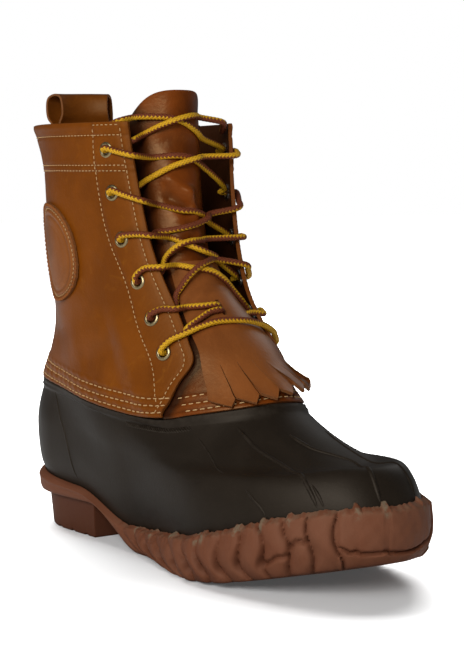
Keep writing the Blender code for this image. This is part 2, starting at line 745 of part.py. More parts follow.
def on_quarter(turn, level, extra=0.0):
    """Where a lace lies on the outside of a quarter."""
    return skin(turn, level, quarter_outside(turn, level) + 2 * GAP + LACE / 2 + extra)


def strand(side, row, levels):
    """From above an eyelet, over its quarter's edge and the tongue, to near the other quarter's edge."""
    turn, level = EYELETS[row]
    edge, middle, tucked = levels if side > 0 else levels[::-1]
    return [
        on_quarter(side * turn, level, EYELET_WALL + STACK_GAP),
        on_quarter(side * (turn + 0.6 * (EDGE_TURN - turn)), level + 0.7 * (edge - level), EYELET_WALL),
        on_quarter(side * EDGE_TURN, edge, GAP),
        on_tongue(side * (EDGE_TURN + 0.6 * (0.5 - EDGE_TURN)), edge + 0.6 * (middle - edge)),
        on_tongue(0.5, middle),
        on_tongue(-side * (0.5 - 0.5 * (0.5 - TUCKED_TURN)), middle + 0.5 * (tucked - middle)),
        on_tongue(-side * TUCKED_TURN, tucked),
    ]


def laces(finish, collection, cutters):
    """Five crossings of two strands each, a bar over the lowest eyelets and the pair at the collar."""
    for row, (outer, inner) in enumerate(zip(LACE_OVER_OUTER, LACE_OVER_INNER)):
        one, other = strand(1, row, outer), strand(-1, row, inner)
        cross(f"lace_cross_{row + 1}", one, other, finish, collection, cutters)
    outer, middle, inner = LACE_BAR
    last = len(EYELETS) - 1
    near = strand(1, last, (outer, middle, inner))[:4]
    far = strand(-1, last, (outer, middle, inner))[:4]
    bar = tube("lace_bar", [*near, on_tongue(0.5, middle), *far[::-1]], finish, collection)
    curve_to_mesh(bar, collection)
    first, second = LACE_TOP
    ends = []
    for side, (edge, middle, tucked) in ((1, first), (-1, second[::-1])):
        ends.append(
            [
                on_tongue(side * TUCKED_TURN, edge),
                on_tongue(side * (TUCKED_TURN + 0.04), edge + 0.5 * (middle - edge)),
                on_tongue(0.5, middle),
                on_tongue(-side * (TUCKED_TURN + 0.04), middle + 0.5 * (tucked - middle)),
                on_tongue(-side * TUCKED_TURN, tucked),
            ]
        )
    cross("lace_top", ends[0], ends[1], finish, collection, cutters)


def cross(name, one, other, finish, collection, cutters):
    """Two strands joined where they cross."""
    base = curve_to_mesh(tube(name, one, finish, collection), collection)
    second = curve_to_mesh(tube(name + "_second", other, finish, collection), collection)
    boolean(base, helper(second, cutters), "UNION")


def main():
    for old in list(bpy.data.objects):
        bpy.data.objects.remove(old)
    boot = bpy.data.collections.new("duck_boot")
    cutters = bpy.data.collections.new("cutters")
    bpy.context.scene.collection.children.link(boot)
    bpy.context.scene.collection.children.link(cutters)
    rubber = material("dark_rubber", (0.030, 0.026, 0.022), 0.45)
    crepe = material("brown_rubber", (0.16, 0.065, 0.035), 0.6)
    leather = material("tan_leather", (0.30, 0.13, 0.035), 0.42)
    felt = material("felt", (0.25, 0.20, 0.14), 0.9)
    cord = material("lace_cord", (0.55, 0.33, 0.03), 0.7)
    brass = material("brass", (0.45, 0.35, 0.16), 0.35, 1.0)
    rubber_shell(rubber, boot)
    outsole(crepe, boot, cutters)
    heel(crepe, boot, cutters)
    insole(felt, boot)
    quarters(leather, boot, cutters)
    tongue(leather, boot)
    kiltie(leather, boot)
    backstay(leather, boot)
    pull_loop(leather, boot)
    side_patch(leather, boot)
    eyelets(brass, boot)
    laces(cord, boot, cutters)


main()
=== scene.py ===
# %% [markdown]
# A duck boot, dressed.
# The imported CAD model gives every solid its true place. This lesson puts a finished skin over it: rubber,
# leather, stitches, brass and a two-coloured lace. Every surface is a grid of points worked out with numpy,
# because a boot is one smooth form that each piece follows, and a formula keeps the pieces fitted together.

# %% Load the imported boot
import math

import bmesh
import bpy
import numpy as np
from mathutils import Matrix


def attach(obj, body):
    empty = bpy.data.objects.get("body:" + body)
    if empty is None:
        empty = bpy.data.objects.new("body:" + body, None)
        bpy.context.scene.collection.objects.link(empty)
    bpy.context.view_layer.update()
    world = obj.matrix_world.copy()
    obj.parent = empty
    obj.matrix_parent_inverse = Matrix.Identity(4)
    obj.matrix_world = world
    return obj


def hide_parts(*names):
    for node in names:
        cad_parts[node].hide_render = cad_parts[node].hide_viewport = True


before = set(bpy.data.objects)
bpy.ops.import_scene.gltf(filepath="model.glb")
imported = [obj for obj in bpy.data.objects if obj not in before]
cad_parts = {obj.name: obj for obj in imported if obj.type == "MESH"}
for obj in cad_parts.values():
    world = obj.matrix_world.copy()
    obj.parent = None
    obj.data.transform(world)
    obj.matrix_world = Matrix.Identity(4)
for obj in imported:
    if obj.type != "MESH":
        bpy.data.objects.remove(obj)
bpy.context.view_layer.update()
print("nodes in the frame:", len(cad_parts))

# %% [markdown]
# The form is the last: a stack of closed ovals from the feather edge to the collar. Two numbers find any
# place on it. Turn goes round the boot, 0 at the heel, 0.25 on the outer side, 0.5 at the front. Level counts
# the rows of the table. The sizes and tables are those of the CAD, so what is built here fits it.

# %% Sizes of the boot
LENGTH = 0.300
BALL_WIDTH = 0.104
HEEL_WIDTH = 0.084
SHAFT_WIDTH = 0.090
UPPER_HEIGHT = 0.212
SEAT_HEIGHT = 0.026
FOREFOOT_HEIGHT = 0.012
TOE_SPRING = 0.020

RUBBER = 0.0024
LEATHER = 0.0018
GAP = 0.0003
CURVED_GAP = 0.0005
STACK_GAP = 0.0011
TONGUE_GAP = 0.0007
SEAM_BAND = 0.016
FLANGE = 0.008

HEEL_RAND = 0.0042
FORE_RAND = 0.0075
RAND_EDGE = 0.005
LUG_HEIGHT = 0.003
LUG_WIDTH = 0.012
RIM_WIDTH = 0.008
HEEL_INSET = 0.007
GROOVE_RADIUS = 0.0018
HEEL_GROOVES = (-0.075, -0.025, 0.025, 0.075)
SOLE_WALL = 0.0045

EYELET_HOLE = 0.0024
EYELET_WALL = 0.0006
LACE = 0.0032
PATCH_RADIUS = 0.029
PATCH = 0.0010
STRAP = 0.0016
STRAP_WIDTH = 0.034
BACKSTAY_WIDTH = 0.026
BACK_TURN = -0.03
TONGUE_TAPER = 0.36
TONGUE_SHIFT = 0.0015
TONGUE_SETBACK = 0.014
LOOP_DEPTH = 0.0055
HEEL_FRONT = -0.112
ARCH_END = -0.28
COLLAR_LEVEL = 13
TONGUE_LEVEL = 13.95

# %% Tables of the form
SECTION_COLUMNS = (
    "back", "back_rise", "front", "front_rise", "sole", "heel", "waist", "ball", "shaft", "lean",
    "back_round", "front_square",
)
SECTIONS = np.array([
    (0.140, 0.000, -0.793, 0.000, 1.00, 0.81, 0.60, 0.885, 0.0, 0.096, 0.15, 0.62),
    (0.160, 0.052, -0.823, 0.050, 1.00, 0.92, 0.69, 0.980, 0.0, 0.106, 0.15, 0.64),
    (0.168, 0.108, -0.830, 0.100, 0.90, 0.98, 0.77, 1.020, 0.0, 0.106, 0.16, 0.66),
    (0.170, 0.160, -0.791, 0.185, 0.60, 1.00, 0.83, 1.000, 0.0, 0.096, 0.17, 0.64),
    (0.167, 0.208, -0.723, 0.190, 0.35, 0.99, 0.86, 0.909, 0.0, 0.087, 0.18, 0.58),
    (0.160, 0.255, -0.625, 0.232, 0.15, 0.95, 0.875, 0.847, 0.0, 0.067, 0.20, 0.52),
    (0.150, 0.302, -0.540, 0.290, 0.00, 0.92, 0.875, 0.827, 0.0, 0.048, 0.24, 0.50),
    (0.137, 0.358, -0.470, 0.391, 0.00, 0.88, 0.91, 0.850, 0.5, 0.029, 0.28, 0.50),
    (0.120, 0.434, -0.420, 0.476, 0.00, 0.84, 0.955, 0.890, 1.0, 0.010, 0.33, 0.52),
    (0.117, 0.528, -0.377, 0.575, 0.00, 0.87, 0.955, 0.890, 1.0, 0.000, 0.38, 0.55),
    (0.127, 0.646, -0.340, 0.693, 0.00, 0.93, 0.98, 0.900, 1.0, 0.000, 0.42, 0.58),
    (0.137, 0.774, -0.320, 0.821, 0.00, 0.95, 1.00, 0.910, 1.0, 0.000, 0.44, 0.60),
    (0.147, 0.896, -0.310, 0.925, 0.00, 0.965, 1.00, 0.920, 1.0, 0.000, 0.45, 0.62),
    (0.170, 1.000, -0.307, 1.000, 0.00, 1.035, 1.045, 0.930, 1.0, 0.000, 0.45, 0.62),
    (0.180, 1.092, -0.303, 1.085, 0.00, 1.05, 1.05, 0.930, 1.0, 0.000, 0.45, 0.62),
])
SEAM = np.array([
    (0.00, 5.95), (0.10, 5.95), (0.18, 5.80), (0.25, 5.45),
    (0.315, 5.31), (0.36, 5.63), (0.42, 5.92), (0.50, 6.08),
])
RAND = np.array([
    (0.00, 0.75), (0.09, 0.70), (0.155, 0.40), (0.23, 0.35),
    (0.29, 0.85), (0.35, 1.60), (0.39, 1.90), (0.50, 1.90),
])
SPRING = np.array([
    (0.47, 0.00), (0.53, 0.05), (0.58, 0.14), (0.63, 0.28), (0.68, 0.45), (0.745, 0.68), (0.86, 1.00),
])
THROAT = np.array([
    (5.3, 0.325), (6.0, 0.348), (6.5, 0.370), (7.0, 0.400), (7.6, 0.408),
    (8.3, 0.410), (9.6, 0.400), (11.6, 0.388), (13.0, 0.384),
])
EYELETS = ((0.343, 12.1), (0.345, 11.05), (0.351, 10.1), (0.362, 9.2), (0.368, 8.3), (0.368, 7.3))
PATCH_CENTRE = (0.197, 9.9)
LUG_ROWS = (
    (-0.68, -0.12, 0.28, 3), (-0.61, -0.22, 0.34, 3), (-0.54, -0.28, 0.34, 4), (-0.47, -0.26, 0.28, 3),
    (-0.40, -0.22, 0.22, 3),
)


# %% The form and the curves on it
def ease(share):
    """0 to 1 with a soft start and end: 3 s squared minus 2 s cubed."""
    share = np.clip(share, 0.0, 1.0)
    return share * share * (3 - 2 * share)


def through(table, at):
    """A cubic Hermite curve through the table's points, with the slopes between their neighbours."""
    at = np.asarray(at, float)
    keys, values = table[:, 0], table[:, 1]
    slopes = np.gradient(values, keys)
    slopes[0] = slopes[-1] = 0.0
    clipped = np.clip(at, keys[0], keys[-1])
    i = np.clip(np.searchsorted(keys, clipped, side="right") - 1, 0, len(keys) - 2)
    width = keys[i + 1] - keys[i]
    t = (clipped - keys[i]) / width
    return (
        (2 * t**3 - 3 * t**2 + 1) * values[i]
        + (t**3 - 2 * t**2 + t) * width * slopes[i]
        + (3 * t**2 - 2 * t**3) * values[i + 1]
        + (t**3 - t**2) * width * slopes[i + 1]
    )


def half_turn(turn):
    """How far round from the heel, 0 to 0.5, on either side."""
    turn = np.mod(np.asarray(turn, float), 1.0)
    return np.minimum(turn, 1.0 - turn)


def spring(y):
    """How far the toe has sprung up."""
    return TOE_SPRING * through(SPRING, -np.asarray(y, float) / LENGTH)


def feather(y):
    """Height of the feather edge: level at the heel, down the arch, up to the toe."""
    arch = ease((-0.065 * LENGTH - y) / (0.185 * LENGTH))
    return SEAT_HEIGHT + (FOREFOOT_HEIGHT - SEAT_HEIGHT) * arch + 0.85 * spring(y)


def sections_at(level):
    """The SECTIONS row at any level, by a Catmull-Rom curve through the rows."""
    level = np.clip(np.asarray(level, float), 0.0, len(SECTIONS) - 1 - 1e-9)
    i = level.astype(int)
    t = (level - i)[..., None]
    rows = [SECTIONS[np.clip(i + k, 0, len(SECTIONS) - 1)] for k in (-1, 0, 1, 2)]
    mixed = 0.5 * (
        2 * rows[1]
        + (rows[2] - rows[0]) * t
        + (2 * rows[0] - 5 * rows[1] + 4 * rows[2] - rows[3]) * t**2
        + (3 * rows[1] - rows[0] - 3 * rows[2] + rows[3]) * t**3
    )
    return {name: mixed[..., k] for k, name in enumerate(SECTION_COLUMNS)}


def form(turn, level):
    """A point of the last. Along goes heel to toe as a half cosine of the turn, and the width is eased
    from heel to waist to ball and rounded off at both ends."""
    turn, level = np.broadcast_arrays(np.asarray(turn, float), np.asarray(level, float))
    row = sections_at(level)
    along = (1 - np.cos(2 * math.pi * turn)) / 2
    side = np.where(np.sin(2 * math.pi * turn) >= 0, -1.0, 1.0)
    girth = (BALL_WIDTH + (SHAFT_WIDTH - BALL_WIDTH) * row["shaft"]) / 2
    heel = row["heel"] * HEEL_WIDTH / 2
    waist, ball = row["waist"] * girth, row["ball"] * girth
    width = heel + (waist - heel) * ease((along - 0.15) / 0.30) + (ball - waist) * ease((along - 0.45) / 0.29)
    back_end = np.clip(1 - along / row["back_round"], 0, 1)
    front_end = np.clip((along - row["front_square"]) / (1 - row["front_square"]), 0, 1)
    rounding = np.sqrt(np.clip(1 - back_end**2, 0, 1)) * np.sqrt(np.clip(1 - front_end**2.2, 0, 1))
    x = row["lean"] * BALL_WIDTH * ease((along - 0.40) / 0.60) + side * width * rounding
    y = LENGTH * (row["back"] + (row["front"] - row["back"]) * along)
    rise = row["back_rise"] + (row["front_rise"] - row["back_rise"]) * along
    z = SEAT_HEIGHT + rise * UPPER_HEIGHT + row["sole"] * (feather(y) - SEAT_HEIGHT)
    return np.stack([x, y, z], -1)


def unit(vectors):
    return vectors / np.maximum(np.linalg.norm(vectors, axis=-1, keepdims=True), 1e-12)


def run_up(grid, axis=0):
    """Metres along a path or grid from its first row, or its first column, to each point."""
    step = np.linalg.norm(np.diff(grid, axis=axis), axis=-1)
    start = np.zeros_like(np.take(step, [0], axis=axis))
    return np.concatenate([start, np.cumsum(step, axis=axis)], axis=axis)


def circle(count):
    """Angles of points spread evenly round a circle."""
    return np.linspace(0, 2 * math.pi, count, endpoint=False)


def outward(turn, level):
    """The form's outward normal: the slope round it crossed with the slope up it."""
    round_it = form(np.asarray(turn) + 1e-4, level) - form(np.asarray(turn) - 1e-4, level)
    level = np.clip(level, 0.02, len(SECTIONS) - 1.02)
    up_it = form(turn, level + 0.01) - form(turn, level - 0.01)
    return unit(np.cross(round_it, up_it))


def skin(turn, level, out):
    """A point at a distance out from the form."""
    return form(turn, level) + outward(turn, level) * np.asarray(out)[..., None]


def seam(turn):
    """Level of the leather's lower edge."""
    return through(SEAM, half_turn(turn))


def rand_top(turn):
    """Level of the rand's top edge."""
    return through(RAND, half_turn(turn))


def band(turn):
    """How many levels SEAM_BAND metres are, just above the leather's lower edge."""
    low = seam(turn)
    return SEAM_BAND / np.linalg.norm(form(turn, low + 0.5) - form(turn, low - 0.5), axis=-1)


def vamp_cover(turn, level):
    """1 where the vamp lies under the quarters, 0 elsewhere."""
    return ease((half_turn(turn) - 0.285) / 0.03) * (1 - ease((np.asarray(level) - 7.4) / 1.8))


def quarter_inside(turn, level):
    return CURVED_GAP + (TONGUE_GAP + LEATHER + STACK_GAP - CURVED_GAP) * vamp_cover(turn, level)


def quarter_outside(turn, level):
    return quarter_inside(turn, level) + LEATHER


def on_quarter(turn, level, out=0.0):
    """A point at a distance out from the plain leather of the quarters."""
    return skin(turn, level, quarter_outside(turn, level) + out)


def tongue_skin(turn, level, out):
    """The throat's inner surface: on the form at the vamp, narrower and set back up the shaft."""
    point = skin(turn, level, out)
    back = ease((np.asarray(level, float) - 7.1) / 2.6)
    point[..., 0] = point[..., 0] * (1 - TONGUE_TAPER * back) - TONGUE_SHIFT * back
    point[..., 1] += TONGUE_SETBACK * back
    return point


def heel_top():
    return SEAT_HEIGHT - SOLE_WALL


def ground(y):
    """Height of the outsole's underside."""
    arch = ease((HEEL_FRONT * LENGTH - y) / ((HEEL_FRONT - ARCH_END) * LENGTH))
    return heel_top() * (1 - arch) + spring(y)


def even_turns(count):
    """Turns that are evenly spaced along the feather edge, the same on both sides."""
    fine = np.linspace(0, 0.5, 400)
    run = run_up(form(fine, 0.0))
    half = np.interp(np.linspace(0, run[-1], count // 2 + 1), run, fine)
    return np.concatenate([half, 1 - half[-2:0:-1]])


def along_turn(turn, level):
    """Metres to one whole turn at this place."""
    return float(np.linalg.norm(form(turn + 0.01, level) - form(turn - 0.01, level)) / 0.02)


def along_level(turn, level):
    """Metres to one level at this place."""
    return float(np.linalg.norm(form(turn, level + 0.2) - form(turn, level - 0.2)) / 0.4)


print("length of the last:", round(float(np.ptp(form(np.linspace(0, 1, 200), 1.0)[:, 1])), 3))

# %% [markdown]
# The camera stands where the photographer stood: left of the toe, a little above the floor, with a long lens.
# Its place was solved from a few points of the boot. The floor is one pale sheet before a white background, and wide
# soft lights keep the shadows gentle, as in a catalogue picture.

# %% Camera, floor and lights
CAMERA_PLACE = (-0.530, -0.8824, 0.2081)
CAMERA_YAW = 0.6104
CAMERA_PITCH = 0.0857
CAMERA_ROLL = -0.0012
FOCAL_PIXELS = 1725.0
PHOTO_HEIGHT = 649


def aim(place, forward, roll=0.0):
    """A matrix that looks along forward from place, with +Z up and then rolled."""
    forward = unit(np.asarray(forward, float))
    right = unit(np.cross(forward, [0, 0, 1]))
    up = np.cross(right, forward)
    side = right * math.cos(roll) + up * math.sin(roll)
    top = up * math.cos(roll) - right * math.sin(roll)
    columns = np.stack([side, top, -forward], 1)
    made = Matrix(columns.tolist()).to_4x4()
    made.translation = place
    return made


level_share = math.cos(CAMERA_PITCH)
looking = (
    math.sin(CAMERA_YAW) * level_share, math.cos(CAMERA_YAW) * level_share, -math.sin(CAMERA_PITCH),
)
camera_data = bpy.data.cameras.new("camera")
camera_data.sensor_width = 36.0
camera_data.lens = FOCAL_PIXELS / PHOTO_HEIGHT * camera_data.sensor_width
camera = bpy.data.objects.new("camera", camera_data)
camera.matrix_world = aim(CAMERA_PLACE, looking, CAMERA_ROLL)
bpy.context.scene.collection.objects.link(camera)
bpy.context.scene.camera = camera
bpy.context.scene.view_settings.view_transform = "Standard"

LIGHTS = (
    # name, place, target, side in metres, power, lights the floor alone
    ("key", (-1.42, -0.52, 0.78), (0.0, -0.05, 0.10), 0.80, 8.8, False),
    ("front", (-1.08, -1.12, 0.74), (0.0, -0.10, 0.10), 0.50, 11.2, False),
    ("edge", (0.95, 0.25, 0.70), (0.0, -0.05, 0.12), 0.50, 0.9, False),
    ("ground", (0.50, 0.80, 1.30), (0.0, -0.10, 0.0), 1.70, 88.0, True),
)
floor_collection = bpy.data.collections.new("floor_only")
bpy.context.scene.collection.children.link(floor_collection)
for name, place, target, size, power, floor_only in LIGHTS:
    data = bpy.data.lights.new(name, "AREA")
    data.size = size
    data.energy = power
    lamp = bpy.data.objects.new(name, data)
    lamp.matrix_world = aim(place, np.subtract(target, place))
    bpy.context.scene.collection.objects.link(lamp)
    if floor_only:
        lamp.light_linking.receiver_collection = floor_collection

AMBIENT = 0.10
world = bpy.data.worlds.new("studio")
world.use_nodes = True
sky = world.node_tree
seen = sky.nodes.new("ShaderNodeLightPath").outputs["Is Camera Ray"]
strength = sky.nodes.new("ShaderNodeMath")
strength.operation = "MULTIPLY_ADD"
sky.links.new(seen, strength.inputs[0])
strength.inputs[1].default_value = 1.0 - AMBIENT
strength.inputs[2].default_value = AMBIENT
sky.nodes["Background"].inputs["Color"].default_value = (1.0, 1.0, 1.0, 1.0)
sky.links.new(strength.outputs[0], sky.nodes["Background"].inputs["Strength"])
bpy.context.scene.world = world
print("lens in millimetres:", round(camera_data.lens, 1), "lights:", len(LIGHTS))

# %% [markdown]
# Every finish is a node tree. Short helpers put a node in place and join its sockets, so a tree reads like a
# recipe. What several finishes share, such as grain or dust, is a node group made once with named sockets.

# %% Helpers for node trees
def put(tree, kind, settings=None, **inputs):
    """Adds a node. An input named i0, i1 and so on is found by number, any other by its name."""
    made = tree.nodes.new(kind)
    for key, value in (settings or {}).items():
        setattr(made, key, value)
    for key, value in inputs.items():
        numbered = key[0] == "i" and key[1:].isdigit()
        socket = made.inputs[int(key[1:])] if numbered else made.inputs[key.replace("_", " ")]
        if isinstance(value, bpy.types.NodeSocket):
            tree.links.new(value, socket)
        else:
            socket.default_value = value
    return made


def maths(tree, operation, first, second=0.0, third=0.0, clamp=False):
    settings = {"operation": operation, "use_clamp": clamp}
    return put(tree, "ShaderNodeMath", settings, i0=first, i1=second, i2=third).outputs[0]


def blend_colour(tree, factor, first, second, kind="MIX"):
    settings = {"data_type": "RGBA", "blend_type": kind, "clamp_factor": True}
    made = put(tree, "ShaderNodeMix", settings, i0=factor, i6=first, i7=second)
    return made.outputs[2]


def remap(tree, value, low, high, to_low=0.0, to_high=1.0):
    settings = {"interpolation_type": "SMOOTHSTEP"}
    return put(tree, "ShaderNodeMapRange", settings, i0=value, i1=low, i2=high, i3=to_low, i4=to_high).outputs[0]


def noise(tree, where, scale, detail=3.0, rough=0.55, warp=0.0):
    return put(
        tree, "ShaderNodeTexNoise", None, Vector=where, Scale=scale, Detail=detail, Roughness=rough, Distortion=warp
    ).outputs["Fac"]


def cells(tree, where, scale, feature="F1"):
    return put(tree, "ShaderNodeTexVoronoi", {"feature": feature}, Vector=where, Scale=scale).outputs["Distance"]


def attribute(tree, name):
    return put(tree, "ShaderNodeAttribute", {"attribute_name": name}).outputs["Fac"]


def darken(tree, colour, share):
    """The colour times a share, the same in red, green and blue."""
    grey = put(tree, "ShaderNodeCombineColor", None, i0=share, i1=share, i2=share).outputs[0]
    return blend_colour(tree, 1.0, colour, grey, "MULTIPLY")


FLOAT, COLOUR, VECTOR = "NodeSocketFloat", "NodeSocketColor", "NodeSocketVector"
GROUP_OUTPUTS = (("Color", COLOUR), ("Roughness", FLOAT), ("Height", FLOAT))


def start_group(name, inputs):
    """An empty group with its sockets. Each input is a name, a kind and a starting value."""
    tree = bpy.data.node_groups.new(name, "ShaderNodeTree")
    for label, kind, value in inputs:
        socket = tree.interface.new_socket(label, in_out="INPUT", socket_type=kind)
        if value is not None:
            socket.default_value = value
    for label, kind in GROUP_OUTPUTS:
        tree.interface.new_socket(label, in_out="OUTPUT", socket_type=kind)
    return tree, tree.nodes.new("NodeGroupInput").outputs, tree.nodes.new("NodeGroupOutput")


def end_group(tree, result, *made):
    """Joins colour, roughness and height to the group's outputs."""
    for (label, _), socket in zip(GROUP_OUTPUTS, made):
        tree.links.new(socket, result.inputs[label])
    return tree


# %% [markdown]
# Smooth pull-up leather has three scales: broad clouds where the oils have moved, a fine pebble of pores, and
# a lighter fibrous cut edge. One group makes colour, roughness and height from them. The cut edge and the
# painted shade come in as masks that each piece carries on its own mesh; the painted shade darkens grooves,
# creases and hidden places, nearly to black inside the boot.

# %% Leather grain group
def leather_group():
    tree, given, result = start_group(
        "leather_grain",
        [
            ("Where", VECTOR, None),
            ("Base", COLOUR, (0.3, 0.1, 0.02, 1)),
            ("Dark", COLOUR, (0.1, 0.03, 0.01, 1)),
            ("Light", COLOUR, (0.5, 0.2, 0.05, 1)),
            ("Cut Colour", COLOUR, (0.3, 0.1, 0.03, 1)),
            ("Cut", FLOAT, 0.0),
            ("Fold", FLOAT, 0.0),
            ("Gloss", FLOAT, 0.4),
        ],
    )
    where = given["Where"]
    clouds = noise(tree, where, 22.0, 4.0, 0.6, 0.4)
    streaks = noise(tree, where, 75.0, 3.0, 0.6, 1.5)
    pores = cells(tree, where, 1500.0)
    pebble = cells(tree, where, 620.0, "SMOOTH_F1")
    dark = remap(tree, clouds, 0.62, 0.34)
    light = remap(tree, streaks, 0.56, 0.78)
    tone = blend_colour(tree, maths(tree, "MULTIPLY", dark, 0.55), given["Base"], given["Dark"])
    tone = blend_colour(tree, maths(tree, "MULTIPLY", light, 0.35), tone, given["Light"])
    # Painted shade: as the shade mask rises the colour goes to the dark tone, and from 0.8 up nearly to black.
    tone = blend_colour(tree, given["Fold"], tone, given["Dark"])
    deep = remap(tree, given["Fold"], 0.80, 0.94)
    tone = blend_colour(tree, maths(tree, "MULTIPLY", deep, 0.75), tone, (0.020, 0.007, 0.004, 1))
    speck = maths(tree, "MULTIPLY_ADD", remap(tree, pores, 0.0, 0.35), 0.12, 0.88)
    tone = darken(tree, tone, speck)
    fibres = noise(tree, where, 900.0, 2.0, 0.7)
    cut_tone = blend_colour(tree, fibres, given["Cut Colour"], given["Dark"])
    tone = blend_colour(tree, given["Cut"], tone, cut_tone)
    rough = maths(tree, "MULTIPLY_ADD", clouds, 0.22, given["Gloss"])
    rough = maths(tree, "MULTIPLY_ADD", given["Cut"], 0.35, rough, clamp=True)
    height = maths(tree, "MULTIPLY_ADD", pebble, 0.55, maths(tree, "MULTIPLY", pores, 0.25))
    height = maths(tree, "MULTIPLY_ADD", streaks, 0.5, height)
    height = maths(tree, "MULTIPLY_ADD", maths(tree, "MULTIPLY", fibres, given["Cut"]), 1.2, height)
    return end_group(tree, result, tone, rough, height)


LEATHER_GRAIN = leather_group()
print("group:", LEATHER_GRAIN.name)

# %% [markdown]
# Rubber gets its look from what lies on it: a thin bloom that greys it in clouds, dust that catches on raised
# edges, and fine scuffs that run along the boot. A mask of painted shade darkens the sole's creases and pockets.
# The same group serves the dark shell and the brown sole.

# %% Rubber bloom group
def rubber_group():
    tree, given, result = start_group(
        "rubber_bloom",
        [
            ("Where", VECTOR, None),
            ("Base", COLOUR, (0.03, 0.025, 0.02, 1)),
            ("Bloom", COLOUR, (0.08, 0.07, 0.06, 1)),
            ("Dust", COLOUR, (0.25, 0.18, 0.12, 1)),
            ("Amount", FLOAT, 0.4),
            ("Edge", FLOAT, 0.0),
            ("Fold", FLOAT, 0.0),
            ("Gloss", FLOAT, 0.4),
        ],
    )
    where = given["Where"]
    clouds = noise(tree, where, 18.0, 5.0, 0.62, 0.6)
    fine = noise(tree, where, 260.0, 3.0, 0.6)
    stretched = put(tree, "ShaderNodeMapping", None, Vector=where, Scale=(160.0, 22.0, 160.0)).outputs[0]
    scuffs = noise(tree, stretched, 3.0, 4.0, 0.7, 1.0)
    grain = cells(tree, where, 1300.0)
    bloom = maths(tree, "MULTIPLY", remap(tree, clouds, 0.36, 0.70), given["Amount"])
    tone = blend_colour(tree, bloom, given["Base"], given["Bloom"])
    worn = maths(tree, "MULTIPLY", given["Amount"], 0.35)
    scuffed = maths(tree, "MULTIPLY", remap(tree, scuffs, 0.60, 0.78), worn)
    tone = blend_colour(tree, scuffed, tone, given["Dust"])
    caught = maths(tree, "MULTIPLY", given["Edge"], remap(tree, fine, 0.42, 0.60), clamp=True)
    tone = blend_colour(tree, caught, tone, given["Dust"])
    # Painted shade: the shade mask multiplies the colour darker, in the sole's creases and pockets.
    tone = blend_colour(tree, given["Fold"], tone, (0.52, 0.44, 0.40, 1), "MULTIPLY")
    rough = maths(tree, "MULTIPLY_ADD", clouds, 0.25, given["Gloss"])
    rough = maths(tree, "MULTIPLY_ADD", caught, 0.3, rough, clamp=True)
    height = maths(tree, "MULTIPLY_ADD", fine, 0.5, maths(tree, "MULTIPLY", grain, 0.2))
    height = maths(tree, "MULTIPLY_ADD", scuffs, 0.25, height)
    return end_group(tree, result, tone, rough, height)


RUBBER_BLOOM = rubber_group()
print("group:", RUBBER_BLOOM.name)


# %% [markdown]
# A finish is a material with the boot's own coordinates, one of the two groups and a bump. Colours are linear
# red, green and blue.

# %% Materials made from the groups
def start_material(name):
    made = bpy.data.materials.new(name)
    made.use_nodes = True
    tree = made.node_tree
    where = put(tree, "ShaderNodeTexCoord").outputs["Object"]
    return made, tree, tree.nodes["Principled BSDF"], where


def join(tree, shader, colour, rough, height, depth):
    """Wires colour and roughness to the shader, and the height through a Bump node."""
    tree.links.new(colour, shader.inputs["Base Color"])
    tree.links.new(rough, shader.inputs["Roughness"])
    bump = put(tree, "ShaderNodeBump", None, Height=height, Distance=depth, Strength=0.6)
    tree.links.new(bump.outputs["Normal"], shader.inputs["Normal"])


LEATHER_GRAIN_DEPTH = 0.00025


def leather(name, base, dark, light, cut, gloss, coat=0.03):
    made, tree, shader, where = start_material(name)
    group = put(
        tree, "ShaderNodeGroup", {"node_tree": LEATHER_GRAIN}, Where=where, Base=(*base, 1), Dark=(*dark, 1),
        Light=(*light, 1), Cut_Colour=(*cut, 1), Cut=attribute(tree, "cut"), Fold=attribute(tree, "fold"),
        Gloss=gloss,
    )
    join(tree, shader, *group.outputs, LEATHER_GRAIN_DEPTH)
    shader.inputs["Coat Weight"].default_value = coat
    shader.inputs["Coat Roughness"].default_value = 0.32
    shader.inputs["Specular IOR Level"].default_value = 0.30
    shader.inputs["Specular Tint"].default_value = (1.0, 0.70, 0.32, 1.0)
    return made


def rubber(name, base, bloom, dust, amount, gloss, depth=0.0002):
    made, tree, shader, where = start_material(name)
    group = put(
        tree, "ShaderNodeGroup", {"node_tree": RUBBER_BLOOM}, Where=where, Base=(*base, 1), Bloom=(*bloom, 1),
        Dust=(*dust, 1), Amount=amount, Edge=attribute(tree, "edge"), Fold=attribute(tree, "fold"), Gloss=gloss,
    )
    join(tree, shader, *group.outputs, depth)
    shader.inputs["Specular IOR Level"].default_value = 0.22
    shader.inputs["Specular Tint"].default_value = (1.0, 0.86, 0.70, 1.0)
    return made


TAN_LEATHER = leather(
    "tan_leather", (0.212, 0.053, 0.0022), (0.125, 0.029, 0.0016), (0.30, 0.098, 0.007), (0.17, 0.048, 0.008), 0.38
)
